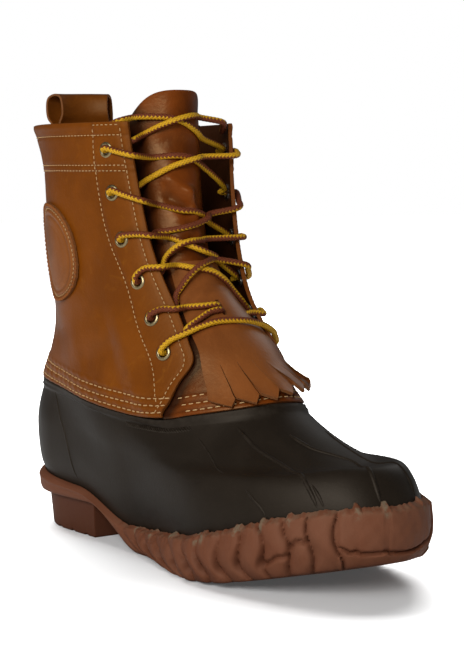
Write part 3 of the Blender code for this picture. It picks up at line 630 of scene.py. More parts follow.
# Its dark tone is nearly black, because it is also the colour of the tongue's painted shade.
RED_LEATHER = leather(
    "red_tan_leather", (0.195, 0.042, 0.0044), (0.040, 0.009, 0.002), (0.28, 0.074, 0.011), (0.20, 0.060, 0.014),
    0.22, coat=0.05,
)
FRINGE_LEATHER = leather(
    "fringe_leather", (0.265, 0.080, 0.018), (0.118, 0.032, 0.007), (0.34, 0.125, 0.034), (0.30, 0.12, 0.045),
    0.26, coat=0.08,
)
STRAP_LEATHER = leather(
    "strap_leather", (0.175, 0.046, 0.004), (0.085, 0.021, 0.003), (0.26, 0.080, 0.010), (0.32, 0.13, 0.05), 0.36
)
PATCH_LEATHER = leather(
    "patch_leather", (0.270, 0.082, 0.016), (0.125, 0.036, 0.008), (0.36, 0.125, 0.030), (0.30, 0.12, 0.04), 0.40
)
SHELL_RUBBER = rubber(
    "shell_rubber", (0.0135, 0.0093, 0.0060), (0.024, 0.0172, 0.0118), (0.055, 0.042, 0.031), 0.55, 0.38
)
SOLE_RUBBER = rubber(
    "sole_rubber", (0.165, 0.056, 0.027), (0.195, 0.079, 0.043), (0.19, 0.135, 0.085), 0.55, 0.52, 0.0003
)
HEEL_RUBBER = rubber(
    "heel_rubber", (0.092, 0.028, 0.013), (0.120, 0.044, 0.024), (0.16, 0.095, 0.055), 0.5, 0.54, 0.0003
)
print("materials so far:", len(bpy.data.materials))

# %% [markdown]
# The last materials are small: waxed thread, aged brass, felt, and the round lace. The lace is braided from
# two colours, so its pattern follows the tube: the map's first number goes round it and the second along it.

# %% Thread, brass, felt and lace materials
LACE_PERIOD = 0.0021


def plain_material(name, pattern, dark, light, rough, depth, extra=None):
    """One noise, given by scale, detail, roughness and warp, mixes two colours, sets the gloss and the bump."""
    made, tree, shader, where = start_material(name)
    fibres = noise(tree, where, *pattern)
    colour = blend_colour(tree, fibres, (*dark, 1), (*light, 1))
    join(tree, shader, colour, maths(tree, "MULTIPLY_ADD", fibres, *rough), fibres, depth)
    for label, value in (extra or {}).items():
        shader.inputs[label].default_value = value
    return made


def lace_material():
    """Maroon on one side of the tube and yellow on the other, with a saw edge between them."""
    made, tree, shader, where = start_material("braided_lace")
    place = put(tree, "ShaderNodeUVMap", {"uv_map": "UVMap"}).outputs[0]
    split = put(tree, "ShaderNodeSeparateXYZ", None, Vector=place)
    round_it, along_it = split.outputs[0], split.outputs[1]
    steps = maths(tree, "DIVIDE", along_it, LACE_PERIOD)
    saw = maths(tree, "ABSOLUTE", maths(tree, "SUBTRACT", maths(tree, "FRACT", steps), 0.5))
    wave = maths(tree, "SINE", maths(tree, "MULTIPLY", round_it, 2 * math.pi))
    edge = maths(tree, "ADD", wave, maths(tree, "MULTIPLY_ADD", saw, 1.5, -0.33))
    side = remap(tree, edge, -0.08, 0.08)
    fibres = noise(tree, where, 1400.0, 3.0, 0.65)
    yellow = blend_colour(tree, fibres, (0.56, 0.260, 0.004, 1), (0.95, 0.54, 0.020, 1))
    maroon = blend_colour(tree, fibres, (0.115, 0.022, 0.007, 1), (0.26, 0.062, 0.018, 1))
    colour = blend_colour(tree, side, yellow, maroon)
    phase = maths(tree, "MULTIPLY", steps, 2 * math.pi)
    plaits = [
        maths(tree, "SINE", maths(tree, "MULTIPLY_ADD", round_it, slope * math.pi, phase)) for slope in (12, -12)
    ]
    plait = maths(tree, "MAXIMUM", *plaits)
    height = maths(tree, "MULTIPLY_ADD", plait, 0.5, maths(tree, "MULTIPLY", fibres, 0.4))
    # Painted shade: the colour is darker between the plaits.
    colour = darken(tree, colour, maths(tree, "MULTIPLY_ADD", remap(tree, plait, -0.4, 0.8), 0.35, 0.65))
    join(tree, shader, colour, maths(tree, "MULTIPLY_ADD", fibres, 0.2, 0.55), height, 0.0004)
    shader.inputs["Specular IOR Level"].default_value = 0.25
    return made


THREAD = plain_material(
    "waxed_thread", (1500.0, 2.0, 0.6), (0.42, 0.235, 0.085), (0.70, 0.47, 0.22), (0.2, 0.5), 0.0002
)
BRASS = plain_material(
    "aged_brass", (500.0, 4.0, 0.6), (0.16, 0.115, 0.055), (0.62, 0.50, 0.27), (0.3, 0.18), 0.0001, {"Metallic": 1.0}
)
STEEL = plain_material(
    "bright_steel", (900.0, 3.0, 0.6), (0.30, 0.29, 0.27), (0.62, 0.61, 0.58), (0.25, 0.15), 0.00005,
    {"Metallic": 1.0},
)
FELT = plain_material(
    "felt", (900.0, 4.0, 0.7, 2.0), (0.13, 0.09, 0.05), (0.30, 0.23, 0.15), (0.1, 0.85), 0.0006, {"Sheen Weight": 0.3}
)
BRAID = lace_material()
print("all materials:", sorted(m.name for m in bpy.data.materials if m.use_nodes)[:20])


# %% [markdown]
# The floor is a stage, not a part of the boot. It is one large pale plane. It fades into the white of the
# background by painted light: seen by the camera it glows, faintly near the boot and fully from 0.9 m out, and
# other rays see it dark grey. The shadow near the boot comes from the lamps.

# %% Floor
FLOOR_HALF = 6.0
floor_mesh = bpy.data.meshes.new("floor")
floor_mesh.from_pydata(
    [(FLOOR_HALF * x, FLOOR_HALF * y, 0) for x, y in ((-1, -1), (1, -1), (1, 1), (-1, 1))], [], [(0, 1, 2, 3)],
)
floor = bpy.data.objects.new("floor", floor_mesh)
floor_collection.objects.link(floor)
pale = bpy.data.materials.new("pale_floor")
pale.use_nodes = True
paper = pale.node_tree.nodes["Principled BSDF"]
paper.inputs["Roughness"].default_value = 0.9
paper.inputs["Specular IOR Level"].default_value = 0.0
viewed = put(pale.node_tree, "ShaderNodeLightPath").outputs["Is Camera Ray"]
tone = blend_colour(pale.node_tree, viewed, (0.30, 0.30, 0.30, 1), (0.93, 0.93, 0.93, 1))
pale.node_tree.links.new(tone, paper.inputs["Base Color"])
spot = put(pale.node_tree, "ShaderNodeTexCoord").outputs["Object"]
away = put(pale.node_tree, "ShaderNodeVectorMath", {"operation": "LENGTH"}, i0=spot).outputs["Value"]
# Painted light: for camera rays the floor glows, little within 0.3 m of the middle and fully beyond 0.9 m.
painted_glow = remap(pale.node_tree, away, 0.30, 0.9, 0.06, 1.0)
pale.node_tree.links.new(maths(pale.node_tree, "MULTIPLY", viewed, painted_glow), paper.inputs["Emission Strength"])
paper.inputs["Emission Color"].default_value = (1.0, 1.0, 1.0, 1.0)
floor_mesh.materials.append(pale)
print("floor side:", 2 * FLOOR_HALF)

# %% [markdown]
# A sheet of leather or rubber has two faces and a cut edge all round. Both faces are grids of the same size,
# so one helper can join them: it closes every free side of a kept cell with a strip, also round a hole. The
# strip's faces carry the mask named cut, from which the leather takes its raw edge.

# %% Meshes from grids
WELD_DISTANCE = 2e-6


def weld_points(mesh, drop_slivers=True):
    """Joins points that lie on each other, and drops what is left without area."""
    clean = bmesh.new()
    clean.from_mesh(mesh)
    bmesh.ops.remove_doubles(clean, verts=clean.verts, dist=WELD_DISTANCE)
    if drop_slivers:
        bmesh.ops.dissolve_degenerate(clean, edges=clean.edges, dist=1e-7)
    clean.to_mesh(mesh)
    clean.free()


def build_mesh(name, points, quads, uv=None, point_marks=None, face_marks=None, weld=False):
    """A mesh from points and four-cornered faces. Points that no face uses are left out."""
    used, renumbered = np.unique(quads, return_inverse=True)
    corners = renumbered.reshape(-1)
    mesh = bpy.data.meshes.new(name)
    mesh.vertices.add(len(used))
    mesh.vertices.foreach_set("co", points[used].astype(np.float32).ravel())
    mesh.loops.add(len(corners))
    mesh.loops.foreach_set("vertex_index", corners.astype(np.int32))
    mesh.polygons.add(len(quads))
    mesh.polygons.foreach_set("loop_start", np.arange(0, len(corners), 4, dtype=np.int32))
    if uv is not None:
        layer = mesh.uv_layers.new(name="UVMap")
        layer.data.foreach_set("uv", uv[used][corners].astype(np.float32).ravel())
    for label, values in (point_marks or {}).items():
        mesh.attributes.new(label, "FLOAT", "POINT").data.foreach_set("value", values[used].astype(np.float32))
    for label, values in (face_marks or {}).items():
        mesh.attributes.new(label, "FLOAT", "FACE").data.foreach_set("value", values.astype(np.float32))
    mesh.update(calc_edges=True)
    mesh.validate()
    if weld:
        weld_points(mesh)
    return mesh


def add_piece(name, mesh, finish, nodes=(), sharp=50.0):
    """Links the mesh as a piece that rides on the boot and stands for its CAD nodes."""
    mesh.materials.append(finish)
    mesh.shade_smooth()
    mesh.set_sharp_from_angle(angle=math.radians(sharp))
    made = bpy.data.objects.new(name, mesh)
    bpy.context.scene.collection.objects.link(made)
    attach(made, "root")
    if nodes:
        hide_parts(*nodes)
    print(name, "faces:", len(mesh.polygons))
    return made


def grid_quads(rows, columns, closed=False):
    """Corner numbers of every cell: rows go up, columns go round, and the faces look out."""
    across = columns if closed else columns - 1
    r = np.arange(rows - 1)[:, None]
    c = np.arange(across)[None, :]
    after = (c + 1) % columns
    low, high = r * columns, (r + 1) * columns
    return np.stack([low + c, low + after, high + after, high + c], -1)


def ring_quads(rings, around, turned=False):
    """Faces of a grid that closes round, as one list. Turned, they look to the other side."""
    quads = grid_quads(rings, around, closed=True).reshape(-1, 4)
    return quads[:, ::-1] if turned else quads


def repeat_quads(one, count, points_each):
    """The same faces again for each of many copies of one set of points."""
    return (one[None] + (np.arange(count) * points_each)[:, None, None]).reshape(-1, 4)


def wall_mesh(name, outer, inner, closed=False, keep=None, marks=None, weld=False, shade=0.0):
    """Two grids joined into one closed wall. The strip on a free side runs against the outer face's edge, and
    every mark is at least shade on the inner face, which paints shade on the inside of the leather."""
    rows, columns = outer.shape[:2]
    cell = grid_quads(rows, columns, closed)
    kept = np.ones(cell.shape[:2], bool) if keep is None else keep
    count = rows * columns
    faces = [cell[kept], cell[kept][:, ::-1] + count]
    below = np.vstack([np.zeros_like(kept[:1]), kept[:-1]])
    above = np.vstack([kept[1:], np.zeros_like(kept[:1])])
    before = np.roll(kept, 1, axis=1)
    behind = np.roll(kept, -1, axis=1)
    if not closed:
        before[:, 0] = False
        behind[:, -1] = False
    sides = ((below, 0, 1), (above, 2, 3), (before, 3, 0), (behind, 1, 2))
    for neighbour, first, second in sides:
        free = cell[kept & ~neighbour]
        a, b = free[:, first], free[:, second]
        faces.append(np.stack([b, a, a + count, b + count], -1))
    skins = 2 * len(faces[0])
    quads = np.concatenate(faces)
    cut = np.zeros(len(quads))
    cut[skins:] = 1.0
    points = np.concatenate([outer.reshape(-1, 3), inner.reshape(-1, 3)])
    both = {}
    for label, values in (marks or {}).items():
        both[label] = np.concatenate([values.ravel(), np.maximum(values.ravel(), shade)])
    return build_mesh(name, points, quads, point_marks=both, face_marks={"cut": cut}, weld=weld)


def soften(made, width=0.0004, segments=2):
    """Rounds the cut edge of a wall with a Bevel modifier."""
    step = made.modifiers.new("soft_edge", "BEVEL")
    step.width = width
    step.segments = segments
    step.limit_method = "ANGLE"
    step.angle_limit = math.radians(55)
    step.use_clamp_overlap = True


def grid_normals(grid, closed=False):
    """Outward normals of a grid from the slopes between neighbours."""
    if closed:
        round_it = np.roll(grid, -1, axis=1) - np.roll(grid, 1, axis=1)
    else:
        round_it = np.gradient(grid, axis=1)
    return unit(np.cross(round_it, np.gradient(grid, axis=0)))


def hill(distance, width):
    """A smooth bump: 1 at distance nought, falling off over width."""
    return np.exp(-((distance / width) ** 2))


def ripple(seed, turn, level, waves=(9.0, 1.1), amount=1.0):
    """A smooth wandering surface: eight sines with seeded directions and phases, added up."""
    dice = np.random.default_rng(seed)
    total = np.zeros(np.broadcast(turn, level).shape)
    for _ in range(8):
        a, b = dice.uniform(-1, 1, 2)
        waving = 2 * math.pi * (a * waves[0] * turn + b * waves[1] * level)
        total = total + np.sin(waving + dice.uniform(0, 6.28))
    return amount * total / 4


print("helpers ready")

# %% [markdown]
# The rubber bottom is one moulding. Its grid starts with a flange under the foot, turns up at the feather edge
# and climbs to a rim under the leather, and it goes on inside the leather as far as the stitches hold it. The
# rim, the step at the toes and the shallow dents are heights added to the outer face.

# %% Rubber shell
SHELL_COLUMNS, SHELL_ROWS = 330, 96
RIM_HEIGHT, RIM_PROUD = 0.0050, 0.0012
SEAM_SHARE = 0.86
DENTS = (
    # turn, level, how far round, how far up, depth in metres
    (0.430, 4.2, 0.030, 0.8, -0.0012),
    (0.395, 3.2, 0.030, 0.7, -0.0007),
    (0.500, 3.7, 0.050, 0.5, -0.0010),
    (0.300, 3.4, 0.050, 1.0, -0.0006),
    (0.190, 3.6, 0.040, 1.2, -0.0008),
    (0.375, 3.35, 0.085, 0.55, -0.0016),
    (0.455, 3.3, 0.025, 0.5, 0.0008),
    (0.570, 3.8, 0.035, 0.8, -0.0010),
)


def shell_relief(turn, level):
    """The rim just below the leather, a groove under it, and hills and hollows from the DENTS table."""
    down = (seam(turn) - level) * SEAM_BAND / band(turn)
    rim = RIM_PROUD * ease((down + 0.0006) / 0.0012) * (1 - ease((down - RIM_HEIGHT) / 0.0014))
    lip = 0.0005 * hill(down - 0.0012, 0.0009)
    total = rim + lip
    for spot_turn, spot_level, wide, tall, depth in DENTS:
        total = total + depth * np.exp(-(((turn - spot_turn) / wide) ** 2) - ((level - spot_level) / tall) ** 2)
    clear = ease((level - rand_top(turn)) / 0.4)
    return clear * (total + ripple(4, turn, level, (7.0, 0.5), 0.00022))


def rubber_shell():
    turns = even_turns(SHELL_COLUMNS)
    corner = skin(turns, 0.0, -RUBBER)
    corner[:, 2] = feather(corner[:, 1])
    flat_out = unit(outward(turns, 0.05) * [1, 1, 0])
    flange = corner - flat_out * FLANGE
    flange[:, 2] = feather(flange[:, 1])
    share = np.linspace(0, 1, SHELL_ROWS)[:, None]
    seam_level, top = seam(turns)[None], (seam(turns) + band(turns))[None]
    above = (share - SEAM_SHARE) / (1 - SEAM_SHARE)
    level = np.where(share < SEAM_SHARE, seam_level * (share / SEAM_SHARE), seam_level + (top - seam_level) * above)
    turn = np.broadcast_to(turns, level.shape)
    outer = skin(turn, level, shell_relief(turn, level))
    inner = skin(turn, level, -RUBBER)
    outer[0, :, 2] = feather(outer[0, :, 1])
    lift = np.array([0, 0, RUBBER])
    inner[:2] = inner[2] * 0.02 + (corner + lift) * 0.98
    under = np.stack([flange, corner * 0.5 + flange * 0.5])
    over = under + lift
    return wall_mesh(
        "rubber_shell", np.concatenate([under, outer]), np.concatenate([over, inner]), closed=True,
        marks={"edge": np.concatenate([np.zeros((2, len(turns))), 0.25 * hill(seam_level - level, 0.25)])},
    )


add_piece("rubber_shell", rubber_shell(), SHELL_RUBBER, ["rubber_shell"])


# %% [markdown]
# Fine lines on the rubber are narrower than a cell of its grid. Each is a bead: a thin round carried along a
# path on the form and sunk by nearly half, so it shows as a raised line. The ribbed strip under the leather on the
# outer side is a small patch of its own with one wave for each rib.

# %% Beads and the ribbed strip
def smooth_path(rows, spacing):
    """A Catmull-Rom curve through rows of numbers, with points evenly spread by their first three numbers."""
    rows = np.asarray(rows, float)
    ends = np.concatenate([[2 * rows[0] - rows[1]], rows, [2 * rows[-1] - rows[-2]]])
    t = np.linspace(0, 1, 24, endpoint=False)[None, :, None]
    a, b, c, d = ends[:-3, None], ends[1:-2, None], ends[2:-1, None], ends[3:, None]
    curve = 0.5 * (2 * b + (c - a) * t + (2 * a - 5 * b + 4 * c - d) * t**2 + (3 * b - a - 3 * c + d) * t**3)
    curve = np.concatenate([curve.reshape(-1, rows.shape[1]), rows[-1:]])
    run = run_up(curve[:, :3])
    count = max(4, int(run[-1] / spacing) + 1)
    at = np.linspace(0, run[-1], count)
    return np.stack([np.interp(at, run, curve[:, k]) for k in range(curve.shape[1])], 1)


def tube_mesh(name, path, up, radius, around=12, uv_turn=None):
    """A round tube: each ring is the path's point plus radius times cosine and sine of the angle. The ends
    close on their own centres."""
    ahead = unit(np.gradient(path, axis=0))
    side = unit(np.cross(ahead, up))
    top = np.cross(side, ahead)
    angle = circle(around)
    radius = np.broadcast_to(radius, len(path)).astype(float)
    ring = np.cos(angle)[None, :, None] * side[:, None] + np.sin(angle)[None, :, None] * top[:, None]
    points = path[:, None] + ring * radius[:, None, None]
    caps = np.repeat(path[[0, -1]][:, None], around, axis=1)
    points = np.concatenate([caps[:1], points, caps[1:]])
    run = run_up(path)
    run = np.concatenate([run[:1], run, run[-1:]])
    quads = ring_quads(len(points), around, turned=True)
    mesh = build_mesh(name, points.reshape(-1, 3), quads)
    corner_ring, corner_spoke = np.divmod(quads.ravel(), around)
    spoke = corner_spoke.reshape(-1, 4)
    wraps = (spoke.max(1) - spoke.min(1) > 1)[:, None]
    round_share = (spoke + np.where(wraps & (spoke == 0), around, 0)).ravel() / around
    if uv_turn is not None:
        turned = np.concatenate([uv_turn[:1], uv_turn, uv_turn[-1:]])
        round_share = round_share + turned[corner_ring]
    layer = mesh.uv_layers.new(name="UVMap")
    layer.data.foreach_set("uv", np.stack([round_share, run[corner_ring]], 1).astype(np.float32).ravel())
    weld_points(mesh, drop_slivers=False)
    return mesh


BEADS = {
    "toe_ridge_outer": (
        0.00140,
        (
            (0.404, 5.45), (0.404, 5.08), (0.404, 4.68), (0.410, 4.33), (0.415, 3.96), (0.414, 3.3), (0.413, 2.83),
            (0.416, 2.3), (0.417, 2.0),
        ),
    ),
    "toe_ridge_twin": (0.00115, ((0.4175, 2.75), (0.421, 2.37), (0.423, 2.0))),
    "toe_ridge_inner": (
        0.00140,
        (
            (0.466, 5.25), (0.477, 4.71), (0.498, 4.41), (0.512, 4.10), (0.500, 3.6), (0.486, 3.1), (0.480, 2.5),
            (0.479, 2.0),
        ),
    ),
    "toe_ridge_far": (0.00135, ((0.560, 5.2), (0.553, 4.5), (0.545, 3.8), (0.540, 3.0), (0.538, 2.0))),
    "ball_ridge": (0.00110, ((0.361, 2.75), (0.366, 2.44), (0.371, 2.21), (0.374, 1.85))),
    "waist_ridge": (0.00065, ((0.347, 4.94), (0.347, 4.36), (0.346, 3.7), (0.352, 3.2))),
}
HEEL_LINE = ((0.152, 5.5), (0.156, 4.85), (0.157, 3.74), (0.159, 2.46), (0.160, 1.62), (0.161, 0.55))
BEADS["heel_line_outer"] = (0.00080, HEEL_LINE)
BEADS["heel_line_inner"] = (0.00080, tuple((1 - turn, level) for turn, level in HEEL_LINE))


BEAD_SINK, BEAD_DUST = 0.45, 0.12


def bead(name, radius, stops):
    line = smooth_path([(*form(t, l), t, l) for t, l in stops], 0.0015)
    turn, level = line[:, 3], line[:, 4]
    path = skin(turn, level, shell_relief(turn, level) - BEAD_SINK * radius)
    from_start = np.arange(len(path))
    taper = np.clip(np.minimum(from_start, from_start[::-1]) / 5, 0.15, 1) ** 0.5
    made = tube_mesh(name, path, outward(turn, level), radius * taper, 8)
    edge = made.attributes.new("edge", "FLOAT", "POINT")
    edge.data.foreach_set("value", np.full(len(made.vertices), BEAD_DUST, np.float32))
    add_piece(name, made, SHELL_RUBBER)


for name, (radius, stops) in BEADS.items():
    bead(name, radius, stops)

RIB_TURNS = (0.268, 0.352)
RIB_PITCH = 0.0017
RIB_STRIP = (0.0062, 0.0108)


def ribbed_strip():
    """A strip that lies below the rim, its height a raised cosine along it, flattened at its borders."""
    turns = np.linspace(*RIB_TURNS, 340)
    down = np.linspace(RIB_STRIP[1], RIB_STRIP[0], 9)[:, None]
    level = seam(turns)[None] - down / SEAM_BAND * band(turns)[None]
    turn = np.broadcast_to(turns, level.shape)
    base = skin(turn, level, shell_relief(turn, level))
    run = run_up(base, 1)
    edge = ease(np.linspace(0, 4, 9))[:, None] * ease(np.linspace(4, 0, 9))[:, None]
    ends = ease(run / 0.006) * ease((run[:, -1:] - run) / 0.006)
    wave = 0.5 - 0.5 * np.cos(2 * math.pi * run / RIB_PITCH)
    height = edge * ends * (0.00025 + 0.00060 * wave) - 0.0002
    normals = outward(turn, level)
    return wall_mesh(
        "ribbed_strip", base + normals * height[..., None], base - normals * 0.0008,
        marks={"edge": 0.45 * edge * ends * wave},
    )


add_piece("ribbed_strip", ribbed_strip(), SHELL_RUBBER)

# %% [markdown]
# The sole is crepe-like rubber that was wrapped up over the shell while soft. Its side is a row of slanting
# lobes on the ball, then bigger blocks, and a smooth bumper round the toe with a crack low down. The tables
# say where each crease and each torn point is. Along the top the thin edge is rough and dusty. Under the foot
# the grid runs across a rim and a sunk field to the middle, and round lugs stand in the field.

# %% Outsole
SOLE_COLUMNS, SOLE_ROWS = 1040, 44
CREASES = np.array([
    # turn at the torn top, turn at the bottom, share of the full depth
    (0.2180, 0.2400, 0.35), (0.2300, 0.2560, 0.60), (0.2430, 0.2730, 0.90), (0.2610, 0.2900, 1.00),
    (0.2860, 0.3020, 0.85), (0.3050, 0.3140, 1.00), (0.3200, 0.3270, 0.90), (0.3360, 0.3430, 1.00),
    (0.3520, 0.3600, 1.00), (0.3700, 0.3780, 1.00), (0.3910, 0.3950, 0.95), (0.4100, 0.4130, 1.00),
    (0.4320, 0.4370, 1.15),
])
CREASE_DEPTH, POCKET_DEPTH = 0.0044, 0.0026
SHELVES = ((10, 0.34), (11, 0.56))
OVER_EDGE = 0.955
CRACK = np.array([
    (0.434, 0.42), (0.445, 0.33), (0.460, 0.26), (0.480, 0.23), (0.510, 0.22), (0.535, 0.27), (0.550, 0.36),
    (0.560, 0.52), (0.566, 0.74), (0.572, 1.02),
])
TEARS = np.array([
    # turn, height in metres, half width in turns, lean
    (0.231, 0.0014, 0.0028, 0.2), (0.259, 0.0018, 0.0030, 0.8), (0.288, 0.0022, 0.0034, 0.3),
    (0.319, 0.0012, 0.0024, 0.5), (0.325, 0.0026, 0.0032, 0.7), (0.352, 0.0020, 0.0036, 0.4),
    (0.372, 0.0014, 0.0030, 0.6), (0.393, 0.0016, 0.0034, 0.3), (0.451, 0.0030, 0.0040, 0.3),
    (0.482, 0.0034, 0.0046, 0.6), (0.536, 0.0022, 0.0036, 0.5), (0.588, 0.0026, 0.0040, 0.3),
    (0.631, 0.0020, 0.0034, 0.7), (0.667, 0.0022, 0.0034, 0.4), (0.702, 0.0018, 0.0030, 0.5),
    (0.741, 0.0014, 0.0030, 0.5),
])


def crease_place(near, rise):
    """Number of the lobe, and the share of the way across it, where every crease bends a little."""
    low = 1.15 * (1 - rise) ** 1.6
    bends = 0.0022 * np.sin(2.2 * math.pi * rise + 1.1 * np.arange(len(CREASES))[:, None, None])
    lines = CREASES[:, 0, None, None] + (CREASES[:, 1] - CREASES[:, 0])[:, None, None] * low + bends
    lobe = np.sum(near[None] > lines, axis=0)
    ends = np.concatenate([lines[:1] - 0.03, lines, 1 - lines[-1:]])
    left = np.take_along_axis(ends, lobe[None], 0)[0]
    right = np.take_along_axis(ends, lobe[None] + 1, 0)[0]
    return lobe, np.clip((near - left) / (right - left), 0, 1), right - left


def sole_relief(turn, rise, fore):
    """Height of the side, and a mask of painted shade for its hollows. A lobe swells from its left crease and falls
    sharply into its right one, with a pocket low beside it; shelves part the two blocks before the bumper, and a
    crack runs low round the bumper."""
    near = np.broadcast_to(half_turn(turn), np.broadcast(turn, rise).shape)
    rise = np.broadcast_to(rise, near.shape)
    lobe, w, width = crease_place(near, rise)
    metres = width * 0.62
    depth = CREASE_DEPTH * np.concatenate([CREASES[:, 2], [0.9]])[lobe]
    sharp = (1 - np.exp(-(1 - w) * metres / 0.0006)) * (1 - 0.6 * np.exp(-w * metres / 0.0013))
    shallow = 0.62 * ease((rise - 0.52) / 0.22) * (lobe < 9)
    sharp = sharp + (1 - sharp) * shallow
    # Painted shade: a mask that darkens the creases, the shelves, the crack and the pockets.
    hollow_shade = (1 - sharp) * (lobe < len(CREASES)) * (0.25 + 0.75 * np.exp(-(((rise - 0.38) / 0.22) ** 2)))
    swell = 0.30 + 0.45 * ease(w / 0.8) + 0.25 * np.sin(math.pi * w)
    deep = 0.35 + 0.65 * np.exp(-(((rise - 0.38) / 0.30) ** 2))
    beside, low_down = (w - 0.92) / 0.13, (rise - 0.31 - 0.35 * (w - 0.9)) / 0.10
    pocket = POCKET_DEPTH * np.exp(-(beside**2) - low_down**2) * (lobe < 10)
    bumper = ease((near - CREASES[-1, 0] - 0.002) / 0.004)
    lobes = sharp * (swell * deep + (1 - deep) * 0.75)
    height = depth * (lobes * (1 - bumper) + bumper * (1 - np.exp(-w * metres / 0.0012)) * 0.85)
    for number, shelf in SHELVES:
        inside = lobe == number
        line = shelf + 0.07 * (w - 0.5) + 0.03 * np.sin(7 * w + number)
        height = height - 0.0019 * inside * hill(rise - line, 0.045) + 0.0005 * inside * ease((line - rise) / 0.08)
        hollow_shade = hollow_shade + 0.7 * inside * hill(rise - line, 0.030)
    crack = through(CRACK, turn) + 0.015 * np.sin(95 * turn)
    cracked = bumper * (turn < CRACK[-1, 0])
    height = height - 0.0024 * cracked * hill(rise - crack, 0.028) + 0.0009 * cracked * ease((crack - rise) / 0.06)
    rough = ripple(11, turn, rise, (30.0, 1.6), 0.00045) + ripple(12, turn, rise, (90.0, 3.5), 0.00016) - pocket
    hollow_shade = hollow_shade + 0.7 * cracked * hill(rise - crack, 0.020) + 0.60 * pocket / POCKET_DEPTH
    return fore * (height + rough), fore * np.clip(hollow_shade, 0, 0.9)


def torn_edge(turns, fore):
    """How far the torn top stands above its smooth line, and where it is torn. Each lobe ends in a low arch,
    seeded zigzags run along all of it, and the TEARS stand out as leaning points."""
    dice = np.random.default_rng(21)
    knots = np.linspace(0, 1, 421)
    line = np.interp(turns, knots, dice.uniform(-0.00055, 0.00055, len(knots)))
    near = half_turn(turns)
    _, w, _ = crease_place(near[None], np.ones((1, len(turns))))
    line = line + 0.0009 * np.sqrt(np.clip(np.sin(math.pi * w[0]), 0, 1)) - 0.0006
    torn = np.zeros(len(turns))
    for spot, tall, half, lean in TEARS:
        left, right = spot - 2 * half * lean, spot + 2 * half * (1 - lean)
        tooth = np.clip(np.minimum((turns - left) / (spot - left), (right - turns) / (right - spot)), 0, 1)
        line = line + 0.72 * tall * ease(2.1 * tooth)
        torn = np.maximum(torn, ease(tooth * 1.5))
    return fore * line, fore * torn


def outsole():
    turns = even_turns(SOLE_COLUMNS)
    top = rand_top(turns)
    waist = form(turns, top)
    fore = ease((-0.17 * LENGTH - waist[:, 1]) / (0.12 * LENGTH))
    proud = HEEL_RAND + (FORE_RAND - HEEL_RAND) * fore
    edge = skin(turns, np.minimum(top, 1.0), proud - 0.0021 * fore)
    flat_out = unit(outward(turns, 0.6) * [1, 1, 0])
    up_metres = np.linalg.norm(form(turns, top + 0.2) - form(turns, top - 0.2), axis=-1) / 0.4
    rough_top, torn = torn_edge(turns, fore)
    lip_level = top + rough_top / up_metres
    lip = skin(turns, lip_level, proud * (0.72 - 0.60 * fore))
    floor_z = ground(edge[:, 1])
    rounded = RAND_EDGE * (0.3 + 0.85 * fore + 0.45 * ease((-0.6 * LENGTH - waist[:, 1]) / (0.2 * LENGTH)))
    rise = np.linspace(0, 1, SOLE_ROWS)[:, None]
    tuck = 0.5 - 0.5 * np.sqrt(np.clip(1 - (1 - np.clip(rise / 0.48, 0, 1)) ** 2, 0, 1))
    tuck = tuck + 0.5 * (1 - np.clip(rise / 0.62, 0, 1)) ** 1.7
    over = OVER_EDGE * np.clip((rise - 0.26) / 0.74, 0, 1)
    blend = 0.4 * (1 - np.sqrt(1 - over**2)) / (1 - math.sqrt(1 - OVER_EDGE**2)) + 0.6 * (over / OVER_EDGE) ** 1.6
    side = edge[None] * (1 - blend[..., None]) + lip[None] * blend[..., None]
    turn = np.broadcast_to(turns, side.shape[:2])
    relief, hollow_shade = sole_relief(turn, rise, fore[None])
    relief = relief * ease((1.02 - rise) / 0.10)
    roll = 0.0009 * (1 - fore)[None] * hill(rise - 0.80, 0.16)
    side = side + flat_out[None] * (relief + roll - rounded[None] * tuck)[..., None]
    side[..., 2] = floor_z + (lip[:, 2] - floor_z) * rise

    def under(inset, lift=0.0):
        moved = edge - flat_out * np.broadcast_to(inset, turns.shape)[:, None]
        moved[:, 2] = ground(moved[:, 1]) + lift
        return moved

    recess = LUG_HEIGHT * ease((HEEL_FRONT * LENGTH - edge[:, 1]) / (0.1 * LENGTH))
    field = under(RIM_WIDTH, recess)
    partner = (len(turns) - np.arange(len(turns))) % len(turns)
    middle = (field + field[partner]) / 2
    middle[:, 2] = ground(middle[:, 1]) + (recess + recess[partner]) / 2
    bottom = []
    for share in (0.0, 0.35, 0.7):
        row = middle + (field - middle) * share
        row[:, 2] = ground(row[:, 1]) + recess
        bottom.append(row)
    bottom += [field, under(RIM_WIDTH), under(0.5 * (RIM_WIDTH + rounded))]
    inner_lip = skin(turns, lip_level, CURVED_GAP)
    cup = [lip * 0.4 + inner_lip * 0.6 + [0, 0, 0.0002], inner_lip]
    cup += [skin(turns, top * share, CURVED_GAP) for share in (0.75, 0.5, 0.25)]
    seat = skin(turns, 0.0, CURVED_GAP)
    for row in (seat, (seat + seat[partner]) / 2):
        row[:, 2] = feather(row[:, 1]) - 1.5 * STACK_GAP
        cup.append(row)
    loops = np.concatenate([np.stack(bottom), side, np.stack(cup)])
    first, last = len(bottom), len(bottom) + SOLE_ROWS
    dusty, sole_shade = np.zeros(loops.shape[:2]), np.zeros(loops.shape[:2])
    dusty[first:last] = (0.35 * fore + 0.65 * torn) * ease((rise - 0.86 + 0.14 * torn) / 0.13)
    dusty[last:last + 2] = 0.5 * fore + 0.5 * torn
    # The sole's mask of painted shade.
    sole_shade[first:last] = hollow_shade
    marks = {"edge": dusty.ravel(), "fold": sole_shade.ravel()}
    quads = ring_quads(len(loops), len(turns))
    return build_mesh("outsole", loops.reshape(-1, 3), quads, point_marks=marks, weld=True)


add_piece("outsole", outsole(), SOLE_RUBBER, ["outsole"], 45.0)


